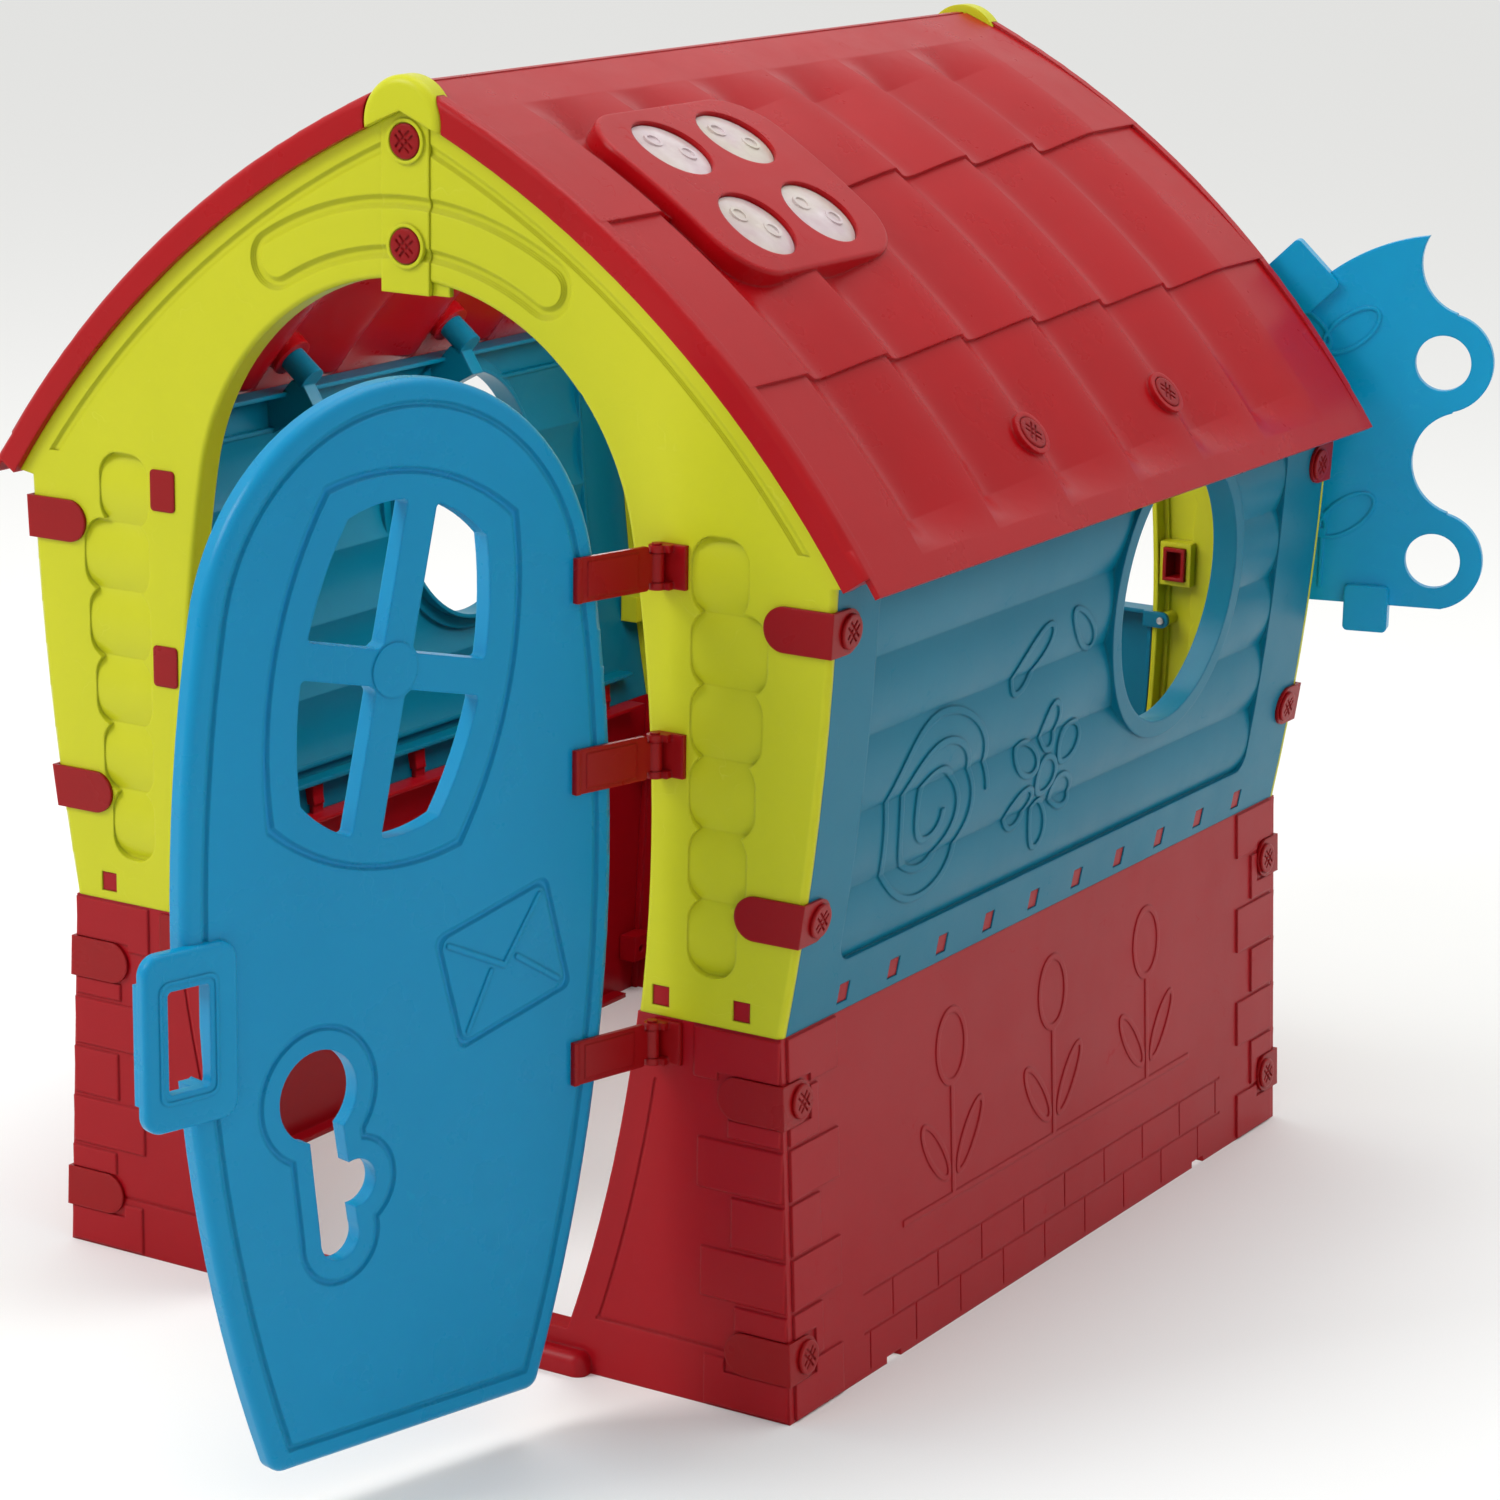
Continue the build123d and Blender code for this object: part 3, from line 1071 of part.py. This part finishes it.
def door_panel():
    """Blue door, drawn closed: a shallow shell with a four-pane window, key opening and handle."""
    outline = door_outline(0)
    door = slab(outline, DOOR_FACE_Y, DOOR_BACK_Y)
    front_edges = door.edges().filter_by(lambda e: abs(e.center().Y - DOOR_FACE_Y) < 0.01)
    door = fillet(front_edges, 8)
    groove = door_outline(16) - door_outline(24)
    window = Pos(-12, APEX_Z - 256) * Rot(0, 0, PANE_TILT)
    glass = barrel_face(90, 134, 20, 22)
    plate, grip = handle_faces()
    hollow = slab(door_outline(12), DOOR_FACE_Y + SKIN, DOOR_BACK_Y + 1)
    hollow -= slab(groove, DOOR_FACE_Y, DOOR_FACE_Y + SKIN + 3)
    keep_frame = barrel_face(96, 140, 20, 22)
    hollow -= slab(window * keep_frame, DOOR_FACE_Y, DOOR_BACK_Y - 2)
    hollow -= slab(key_face(4), DOOR_FACE_Y, DOOR_BACK_Y - 4)
    door -= hollow

    bars = Rectangle(29, 400) + Rectangle(400, 29) + Circle(24)
    panes = glass - bars
    panes = fillet(panes.vertices(), 4)
    door -= slab(window * panes, DOOR_FACE_Y - 20, DOOR_BACK_Y + 20)
    frame_line = lambda grow: window * barrel_face(119 + grow, 156 + grow, 24, 24)
    door -= soft_groove(frame_line, 6, 2.2, DOOR_FACE_Y)
    door += slab(window * Circle(22), DOOR_FACE_Y - 1.5, DOOR_FACE_Y + 1)
    door -= soft_groove(lambda grow: door_outline(19.5 - grow), 6, 2.2, DOOR_FACE_Y)
    door -= slab(key_face(0), DOOR_FACE_Y - 20, DOOR_BACK_Y + 20)
    door -= soft_groove(lambda grow: key_face(18 + grow), 5.5, 2.0, DOOR_FACE_Y)

    envelope = Pos(98, DOOR_BOTTOM_Z + 379) * Rot(0, 0, 15)
    letter = lambda grow: envelope * RectangleRounded(116 + 2 * grow, 97 + 2 * grow, 9)
    door -= soft_groove(letter, 6, 2.0, DOOR_FACE_Y)
    flap = strip((-49, 39), (0, -2), 4.5) + strip((49, 39), (0, -2), 4.5)
    flap += strip((-49, -39), (-14, -1), 4.5) + strip((49, -39), (14, -1), 4.5)
    door += slab(envelope * flap, DOOR_FACE_Y - 1.4, DOOR_FACE_Y + 1)

    handle_y = DOOR_FACE_Y - 7
    handle = slab(plate, handle_y, DOOR_FACE_Y + 3)
    handle = fillet(handle.edges().filter_by(lambda e: abs(e.center().Y - handle_y) < 0.01), 4.5)
    door += handle
    rim = Pos(-217, DOOR_BOTTOM_Z + 383) * (RectangleRounded(55, 98, 9) - RectangleRounded(49, 92, 7))
    door += slab(rim, handle_y - 1.2, handle_y + 1)
    stop_x = -(DOORWAY_X + 10)
    door += block(stop_x + 0.5, stop_x + 5, DOOR_FACE_Y + 2, FRONT_Y - 1,
                  DOOR_BOTTOM_Z + 335, DOOR_BOTTOM_Z + 431)
    door -= slab(grip, DOOR_FACE_Y - 30, DOOR_BACK_Y + 20)
    for z in (HINGE_UPPER_Z, HINGE_MIDDLE_Z, HINGE_LOWER_Z):
        door -= panel_slot(z)
    return door


# ---------------------------------------------------------------- back window
def lobes(x, first):
    """Round lobes up the meeting edge of a shutter, every other half wave."""
    return [(x, SHUTTER_BOTTOM_Z + LOBE_RADIUS - 1 + (2 * i + first) * LOBE_PITCH) for i in range(2)]


def shutter_face(right, inset=0.0):
    """Closed outline of one back shutter, seen from the front, right shutter at +X."""
    whole = doorway_face(DOOR_GAP + inset, SHUTTER_BOTTOM_Z + inset)
    split_x = (RIGHT_LOBE_X + LEFT_LOBE_X) / 2
    own = lobes(RIGHT_LOBE_X, 0) if right else lobes(LEFT_LOBE_X, 1)
    other = lobes(LEFT_LOBE_X, 1) if right else lobes(RIGHT_LOBE_X, 0)
    sign = 1 if right else -1
    play = SEAM_PLAY / 2
    half = Pos(split_x + sign * (400 + play + inset), 700) * Rectangle(800, 1400)
    face = whole & half
    for x, z in own:
        face += (Pos(x, z) * Circle(LOBE_RADIUS - inset)) & whole
    for x, z in other:
        face -= Pos(x, z) * Circle(LOBE_RADIUS + SEAM_PLAY + inset)
    return face


def leaf_lines():
    leaf = Ellipse(34, 17) - Ellipse(30.5, 13.5)
    return (Rot(0, 0, 38) * Pos(30, 0) * leaf + Rot(0, 0, 142) * Pos(30, 0) * leaf
            + Pos(0, -26) * Rectangle(3.5, 60))


def shutter(right):
    """One back shutter, drawn closed at the back gable."""
    sign = 1 if right else -1
    y1 = -DOOR_FACE_Y
    y0 = y1 - SHUTTER_DEPTH
    panel = slab(shutter_face(right), y0, y1)
    panel -= slab(shutter_face(right, SKIN), y0 - 1, y1 - SKIN)
    holes = lobes(RIGHT_LOBE_X, 0) if right else lobes(LEFT_LOBE_X, 1)[:1]
    for x, z in holes:
        panel += slab(Pos(x, z) * Circle(LOBE_HOLE / 2 + SKIN), y0, y1)
        panel -= slab(Pos(x, z) * Circle(LOBE_HOLE / 2), y0 - 1, y1 + 1)
    for z in (HINGE_UPPER_Z, HINGE_MIDDLE_Z):
        slot = mirror(panel_slot(z), about=Plane.XZ)
        panel -= slot if right else mirrored(slot)
    for x, z in ((sign * 122, SHUTTER_BOTTOM_Z + 255), (sign * 118, SHUTTER_BOTTOM_Z + 70)):
        panel += slab(Pos(x, z) * leaf_lines(), y1 - 1, y1 + RELIEF)
    wall_y = -FRONT_Y + 1
    tab_x = sign * 70
    panel += tab(Pos(tab_x, SHUTTER_BOTTOM_Z - 4), 44, 46, y1, wall_y)
    arc = radians(45)
    reach = TOP_RADIUS - DOOR_GAP + 14
    panel += tab(Pos(sign * reach * sin(arc), TOP_Z + reach * cos(arc)) * Rot(0, 0, -sign * 45), 46, 62, y1, wall_y)
    return panel


def tab(place, width, height, y1, wall_y):
    """Hollow stop tab that bridges the gap round a shutter and rests on the wall."""
    outer = slab(place * RectangleRounded(width, height, 5), wall_y, y1 + 7)
    hollow = slab(place * RectangleRounded(width - 8, height - 8, 3), wall_y - 1, y1 + 3.5)
    return outer - hollow


def infill_panel():
    """Blue panel that closes the back doorway below the shutters, fixed by two ears."""
    y1 = -FRONT_Y - 1
    y0 = -FLANGE_Y
    z0 = BASE_HEIGHT + 0.5
    face = doorway_face(INFILL_PLAY, z0) & Pos(0, (INFILL_TOP_Z + z0) / 2) * Rectangle(800, INFILL_TOP_Z - z0)
    inner = doorway_face(INFILL_PLAY + SKIN, z0 + SKIN) \
        & Pos(0, (INFILL_TOP_Z + z0) / 2) * Rectangle(800, INFILL_TOP_Z - z0 - 2 * SKIN)
    panel = slab(face, y0, y1) - slab(inner, y0 - 1, y1 - SKIN)
    x = infill_ear_x()
    z = INFILL_TOP_Z - 8
    for place in (lambda s: s, mirrored):
        ear = Pos(x - 10, z) * Rectangle(20, 15.9) + Pos(x, z) * Circle(7.95)
        ear -= Pos(x, z) * Circle(1.9)
        panel += place(slab(ear, y0 - 4, y0))
    return panel


def infill_screws():
    z = INFILL_TOP_Z - 8
    y = -FLANGE_Y - 4
    made = []
    for sign in (-1, 1):
        head = rod_y(sign * infill_ear_x(), z, 3.6, y - 2.4, y)
        shank = rod_y(sign * infill_ear_x(), z, 1.65, y, y + 16)
        made.append(head + shank - block(sign * infill_ear_x() - 2, sign * infill_ear_x() + 2, y - 3, y - 1.6,
                                         z - 0.5, z + 0.5))
    return made


# ---------------------------------------------------------------- assembly
def build_parts():
    parts = {}
    front_left, front_right = split_gable(gable())
    parts["front_arch_left"] = front_left
    parts["front_arch_right"] = front_right
    parts["back_arch_right"] = turned(front_left)
    parts["back_arch_left"] = turned(front_right)
    screws = lap_screws()
    parts["front_lap_screws"] = group(screws)
    parts["back_lap_screws"] = group([turned(s) for s in lap_screws()])
    parts["front_ridge_cap"] = ridge_cap()
    parts["back_ridge_cap"] = turned(ridge_cap())

    right_wall = side_wall()
    parts["right_side_wall"] = right_wall
    parts["left_side_wall"] = mirrored(right_wall)
    parts["front_base_wall"] = end_base(True)
    parts["back_base_wall"] = turned(end_base(False))
    right_base = side_base()
    parts["right_base_wall"] = right_base
    parts["left_base_wall"] = mirrored(right_base)

    half = roof_half()
    parts["right_roof"] = half
    parts["left_roof"] = turned(half)
    parts["right_roof_screws"] = group(roof_screws())
    parts["left_roof_screws"] = group([turned(s) for s in roof_screws()])
    insert = lens_insert()
    parts["right_skylight_lens"] = insert
    parts["left_skylight_lens"] = turned(insert)

    clips = [corner_clip(upper_band, wall_x, z) for z in CLIP_ZS]
    clips += [corner_clip(base_band, base_x, z) for z in BASE_CLIP_ZS]
    for corner, solids in all_corners(clips).items():
        parts[corner + "_corner_clips"] = group(solids)
    bolts = [clip_screw(wall_x, z) for z in CLIP_ZS] + [clip_screw(base_x, z) for z in BASE_CLIP_ZS]
    for corner, solids in all_corners(bolts).items():
        parts[corner + "_corner_screws"] = group(solids)

    hinge_zs = {"upper": HINGE_UPPER_Z, "middle": HINGE_MIDDLE_Z, "lower": HINGE_LOWER_Z}
    for name, z in hinge_zs.items():
        parts["door_hinge_bracket_" + name] = hinge_bracket(z)
        parts["door_hinge_strap_" + name] = swing(hinge_strap(z), -1, DOOR_OPEN)
    parts["door_hinge_pins"] = group([hinge_pin(z) for z in hinge_zs.values()])
    parts["slot_plugs"] = group([mirrored(slot_plug(z)) for z in hinge_zs.values()])
    parts["door_panel"] = swing(door_panel(), -1, DOOR_OPEN)

    parts["back_infill_panel"] = infill_panel()
    parts["infill_screws"] = group(infill_screws())
    for side, right in (("right", True), ("left", False)):
        flip = (lambda s: s) if right else mirrored
        panel = shutter(True) if right else mirrored(shutter(False))
        parts[side + "_shutter"] = flip(swing(panel, 1, SHUTTER_OPEN))
        pins = []
        for name in ("upper", "middle"):
            z = hinge_zs[name]
            strap = swing(mirror(hinge_strap(z), about=Plane.XZ), 1, SHUTTER_OPEN)
            parts[f"{side}_shutter_strap_{name}"] = flip(strap)
            parts[f"{side}_shutter_bracket_{name}"] = flip(mirror(hinge_bracket(z), about=Plane.XZ))
            pins.append(flip(mirror(hinge_pin(z), about=Plane.XZ)))
        parts[side + "_shutter_pins"] = group(pins)
    return parts


for node, piece in build_parts().items():
    solids = piece.solids()
    export_step(solids[0] if len(solids) == 1 else piece, f"parts/{node}.step")
    print(node, len(solids), round(sum(solid.volume for solid in solids)))
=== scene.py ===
import json
from math import cos, radians, sin

import bpy
from mathutils import Matrix, Vector

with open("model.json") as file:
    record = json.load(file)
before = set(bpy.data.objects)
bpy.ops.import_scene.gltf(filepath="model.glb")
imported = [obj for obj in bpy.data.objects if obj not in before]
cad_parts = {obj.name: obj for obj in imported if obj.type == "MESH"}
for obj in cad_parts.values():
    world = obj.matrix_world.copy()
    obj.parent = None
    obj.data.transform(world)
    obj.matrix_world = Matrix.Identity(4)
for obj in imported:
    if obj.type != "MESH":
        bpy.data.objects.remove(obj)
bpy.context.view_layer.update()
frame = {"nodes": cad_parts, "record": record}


# ---------------------------------------------------------------- shader helpers
def new_material(name):
    material = bpy.data.materials.new(name)
    material.use_nodes = True
    return material, material.node_tree, material.node_tree.nodes["Principled BSDF"]


def node(tree, kind, inputs=None, **settings):
    """Adds a node, sets its properties and its inputs. An input may be a value or an output socket."""
    made = tree.nodes.new(kind)
    for key, value in settings.items():
        setattr(made, key, value)
    for key, value in (inputs or {}).items():
        if isinstance(value, bpy.types.NodeSocket):
            tree.links.new(value, made.inputs[key])
        else:
            made.inputs[key].default_value = value
    return made


def object_coords(tree, scale=(1.0, 1.0, 1.0)):
    coords = node(tree, "ShaderNodeTexCoord")
    return node(tree, "ShaderNodeMapping", {"Vector": coords.outputs["Object"], "Scale": scale}).outputs[0]


def noise(tree, vector, scale, detail=3.0, roughness=0.55, distortion=0.0):
    made = node(tree, "ShaderNodeTexNoise", {
        "Vector": vector, "Scale": scale, "Detail": detail, "Roughness": roughness, "Distortion": distortion})
    return made.outputs["Fac"]


def remap(tree, value, low, high, out_low=0.0, out_high=1.0):
    made = node(tree, "ShaderNodeMapRange", {
        "Value": value, "From Min": low, "From Max": high, "To Min": out_low, "To Max": out_high})
    return made.outputs["Result"]


def maths(tree, operation, first, second=0.0):
    return node(tree, "ShaderNodeMath", {0: first, 1: second}, operation=operation).outputs[0]


def mix_colour(tree, factor, first, second, blend="MIX"):
    made = node(tree, "ShaderNodeMix", data_type="RGBA", blend_type=blend)
    for index, value in ((0, factor), (6, first), (7, second)):
        if isinstance(value, bpy.types.NodeSocket):
            tree.links.new(value, made.inputs[index])
        else:
            made.inputs[index].default_value = value if index == 0 else (*value, 1.0)
    return made.outputs[2]


def srgb(text):
    """Linear colour of an sRGB hex code."""
    values = [int(text[i:i + 2], 16) / 255 for i in (0, 2, 4)]
    return tuple(v / 12.92 if v <= 0.04045 else ((v + 0.055) / 1.055)**2.4 for v in values)


# ---------------------------------------------------------------- materials
EDGE_RADIUS = 0.003       # metres, the moulded rounding that highlights follow on every edge
PEEL_DEPTH = 0.00022      # slow waviness of the moulded face
GRAIN_DEPTH = 0.00008
SCUFF_DEPTH = 0.0002
SPREAD = 0.004            # scale of the light's spread inside the plastic
DUST = "D8CFBE"


def moulded_plastic(name, colour, deep, faded, roughness, glow):
    """Injection-moulded outdoor plastic: flow mottling, light sun fading, fine grain, scuffs and dust."""
    material, tree, shader = new_material(name)
    here = object_coords(tree)
    stretched = object_coords(tree, (1.0, 1.0, 0.3))

    flow = remap(tree, noise(tree, stretched, 4.5, 3.0, 0.45, 0.5), 0.3, 0.72)
    mottle = remap(tree, noise(tree, here, 42.0, 4.0, 0.6), 0.35, 0.7)
    tone = mix_colour(tree, maths(tree, "MULTIPLY", flow, 0.45), colour, deep)
    tone = mix_colour(tree, maths(tree, "MULTIPLY", mottle, 0.14), tone, deep)

    normal = node(tree, "ShaderNodeNewGeometry").outputs["Normal"]
    up = node(tree, "ShaderNodeSeparateXYZ", {0: normal}).outputs["Z"]
    sun = remap(tree, up, 0.2, 0.95)
    patch = remap(tree, noise(tree, here, 7.0, 5.0, 0.6), 0.42, 0.75)
    tone = mix_colour(tree, maths(tree, "MULTIPLY", maths(tree, "MULTIPLY", sun, patch), 0.16), tone, faded)

    specks = remap(tree, noise(tree, here, 560.0, 2.0, 0.7), 0.68, 0.8)
    settled = remap(tree, up, -0.4, 0.9, 0.2, 1.0)
    dusty = maths(tree, "MULTIPLY", maths(tree, "MULTIPLY", specks, 0.1), settled)
    tone = mix_colour(tree, dusty, tone, srgb(DUST))

    waves = node(tree, "ShaderNodeTexWave", {
        "Vector": here, "Scale": 7.0, "Distortion": 34.0, "Detail": 4.0, "Detail Scale": 1.4},
        bands_direction="DIAGONAL").outputs["Fac"]
    broken = remap(tree, noise(tree, here, 21.0, 3.0, 0.6), 0.54, 0.66)
    scuff = maths(tree, "MULTIPLY", remap(tree, waves, 0.988, 1.0), broken)
    tone = mix_colour(tree, maths(tree, "MULTIPLY", scuff, 0.22), tone, faded)
    tree.links.new(tone, shader.inputs["Base Color"])

    rough = remap(tree, noise(tree, here, 13.0, 4.0, 0.6), 0.3, 0.75, roughness - 0.05, roughness + 0.07)
    rough = maths(tree, "ADD", rough, maths(tree, "MULTIPLY", dusty, 0.5))
    rough = maths(tree, "ADD", rough, maths(tree, "MULTIPLY", scuff, 0.2))
    tree.links.new(rough, shader.inputs["Roughness"])

    soft_edge = node(tree, "ShaderNodeBevel", {"Radius": EDGE_RADIUS}, samples=2)
    peel = node(tree, "ShaderNodeBump", {
        "Height": noise(tree, here, 55.0, 2.0, 0.5), "Distance": PEEL_DEPTH, "Strength": 0.3,
        "Normal": soft_edge.outputs[0]})
    fine = node(tree, "ShaderNodeBump", {
        "Height": noise(tree, here, 1400.0, 2.0, 0.6), "Distance": GRAIN_DEPTH, "Strength": 0.5,
        "Normal": peel.outputs[0]})
    dent = node(tree, "ShaderNodeBump", {
        "Height": scuff, "Distance": SCUFF_DEPTH, "Strength": 0.35, "Normal": fine.outputs[0]}, invert=True)
    tree.links.new(dent.outputs[0], shader.inputs["Normal"])
    shader.inputs["Specular IOR Level"].default_value = 0.2
    shader.inputs["IOR"].default_value = 1.5
    shader.inputs["Subsurface Weight"].default_value = 0.35
    shader.inputs["Subsurface Scale"].default_value = SPREAD
    shader.inputs["Subsurface Radius"].default_value = glow
    return material


def clear_plastic(name):
    """Clear moulding with a faint pearly haze."""
    material, tree, shader = new_material(name)
    here = object_coords(tree)
    haze = remap(tree, noise(tree, here, 26.0, 4.0, 0.6), 0.3, 0.7)
    pearl = remap(tree, noise(tree, here, 14.0, 2.0, 0.5, 0.8), 0.4, 0.7)
    tone = mix_colour(tree, haze, srgb("F0E4E6"), srgb("D6BCC4"))
    tone = mix_colour(tree, maths(tree, "MULTIPLY", pearl, 0.4), tone, srgb("D8DCAE"))
    tree.links.new(tone, shader.inputs["Base Color"])
    tree.links.new(remap(tree, noise(tree, here, 90.0, 3.0), 0.3, 0.7, 0.1, 0.26), shader.inputs["Roughness"])
    bump = node(tree, "ShaderNodeBump", {
        "Height": noise(tree, here, 240.0, 2.0), "Distance": 0.0001, "Strength": 0.3})
    tree.links.new(bump.outputs[0], shader.inputs["Normal"])
    shader.inputs["Transmission Weight"].default_value = 0.35
    shader.inputs["IOR"].default_value = 1.46
    return material


def zinc(name):
    material, tree, shader = new_material(name)
    here = object_coords(tree)
    tarnish = remap(tree, noise(tree, here, 300.0, 4.0), 0.35, 0.7)
    tree.links.new(mix_colour(tree, tarnish, srgb("C8CACC"), srgb("8C8F90")), shader.inputs["Base Color"])
    tree.links.new(remap(tree, tarnish, 0.0, 1.0, 0.28, 0.5), shader.inputs["Roughness"])
    shader.inputs["Metallic"].default_value = 1.0
    return material


# How far light spreads inside each plastic, in units of SPREAD, for red, green and blue.
RED_GLOW = (2.2, 0.25, 0.25)
BLUE_GLOW = (0.3, 0.9, 1.6)
LIME_GLOW = (1.4, 1.5, 0.3)

# slot: (name, main colour, deeper colour, sun-faded colour, roughness, glow)
PLASTICS = {
    "yellow": ("lime_plastic", "C0C022", "B0B416", "D2D250", 0.34, LIME_GLOW),
    "side_blue": ("petrol_plastic", "006E88", "006079", "107C96", 0.34, BLUE_GLOW),
    "door_blue": ("blue_plastic", "0087B5", "007AA6", "1596BA", 0.29, BLUE_GLOW),
    "shutter_blue": ("bright_blue_plastic", "009BC9", "0089B5", "36ACCF", 0.29, BLUE_GLOW),
    "base_red": ("base_red_plastic", "9A0513", "89030D", "A81C26", 0.34, RED_GLOW),
    "roof_red": ("roof_red_plastic", "A4050F", "900309", "B01C24", 0.3, RED_GLOW),
    "trim_red": ("trim_red_plastic", "90050B", "7C0307", "9E1A1C", 0.3, RED_GLOW),
}


def make_materials():
    made = {}
    for slot, (name, colour, deep, faded, roughness, glow) in PLASTICS.items():
        made[slot] = moulded_plastic(name, srgb(colour), srgb(deep), srgb(faded), roughness, glow)
    made["lens_clear"] = clear_plastic("clear_plastic")
    made["metal"] = zinc("zinc_screw")
    return made


def paint_nodes():
    """Gives every CAD node the finished material of its record slot."""
    slots = {part["node"]: part["material_slot"] for part in frame["record"]["subparts"]}
    materials = make_materials()
    for name, thing in frame["nodes"].items():
        material = materials[slots[name]]
        for slot in thing.material_slots:
            slot.material = material
        if not thing.material_slots:
            thing.data.materials.append(material)


paint_nodes()

# ---------------------------------------------------------------- camera
CAMERA_PLACE = Vector((2.1163, -3.3525, 1.4508))
CAMERA_YAW = radians(31.652)
CAMERA_PITCH = radians(14.448)
CAMERA_ROLL = radians(0.904)
CAMERA_LENS = 102.97
SENSOR_WIDTH = 36.0


def add_camera():
    forward = Vector((
        -sin(CAMERA_YAW) * cos(CAMERA_PITCH), cos(CAMERA_YAW) * cos(CAMERA_PITCH), -sin(CAMERA_PITCH)))
    right = forward.cross(Vector((0, 0, 1))).normalized()
    up = right.cross(forward)
    side = right * cos(CAMERA_ROLL) + up * sin(CAMERA_ROLL)
    top = up * cos(CAMERA_ROLL) - right * sin(CAMERA_ROLL)
    data = bpy.data.cameras.new("camera")
    data.lens = CAMERA_LENS
    data.sensor_width = SENSOR_WIDTH
    camera = bpy.data.objects.new("camera", data)
    turn = Matrix((side, top, -forward)).transposed().to_4x4()
    camera.matrix_world = Matrix.Translation(CAMERA_PLACE) @ turn
    bpy.context.scene.collection.objects.link(camera)
    bpy.context.scene.camera = camera


# ---------------------------------------------------------------- floor and light
FLOOR_SIZE = 40.0


def add_floor():
    bpy.ops.mesh.primitive_plane_add(size=FLOOR_SIZE, location=(0.0, 0.0, 0.0))
    floor = bpy.context.object
    floor.name = "floor"
    material, tree, shader = new_material("pale_floor")
    grit = remap(tree, noise(tree, object_coords(tree), 900.0, 2.0), 0.3, 0.7)
    tree.links.new(mix_colour(tree, grit, srgb("F3F3F1"), srgb("EFEFED")), shader.inputs["Base Color"])
    shader.inputs["Roughness"].default_value = 0.9
    shader.inputs["Specular IOR Level"].default_value = 0.0
    floor.data.materials.append(material)


def add_light(name, place, target, size, power):
    """Soft square light at place, turned to target. The camera doesn't see it."""
    data = bpy.data.lights.new(name, "AREA")
    data.size = size
    data.energy = power
    light = bpy.data.objects.new(name, data)
    light.location = place
    light.rotation_euler = (Vector(target) - Vector(place)).to_track_quat("-Z", "Y").to_euler()
    light.visible_camera = False
    bpy.context.scene.collection.objects.link(light)


SKY_STRENGTH = 0.86


def add_world():
    world = bpy.data.worlds.new("studio")
    world.use_nodes = True
    background = world.node_tree.nodes["Background"]
    background.inputs["Color"].default_value = (1.0, 1.0, 1.0, 1.0)
    background.inputs["Strength"].default_value = SKY_STRENGTH
    bpy.context.scene.world = world


add_camera()
add_floor()
add_world()
add_light("key", (-2.4, -3.4, 3.8), (0.0, 0.0, 0.5), 1.8, 120.0)
add_light("top", (0.3, 0.6, 4.2), (0.0, 0.0, 0.8), 2.6, 55.0)
add_light("inside", (0.0, 0.05, 0.9), (0.0, 0.05, 0.0), 0.5, 4.5)
bpy.context.scene.view_settings.view_transform = "Standard"
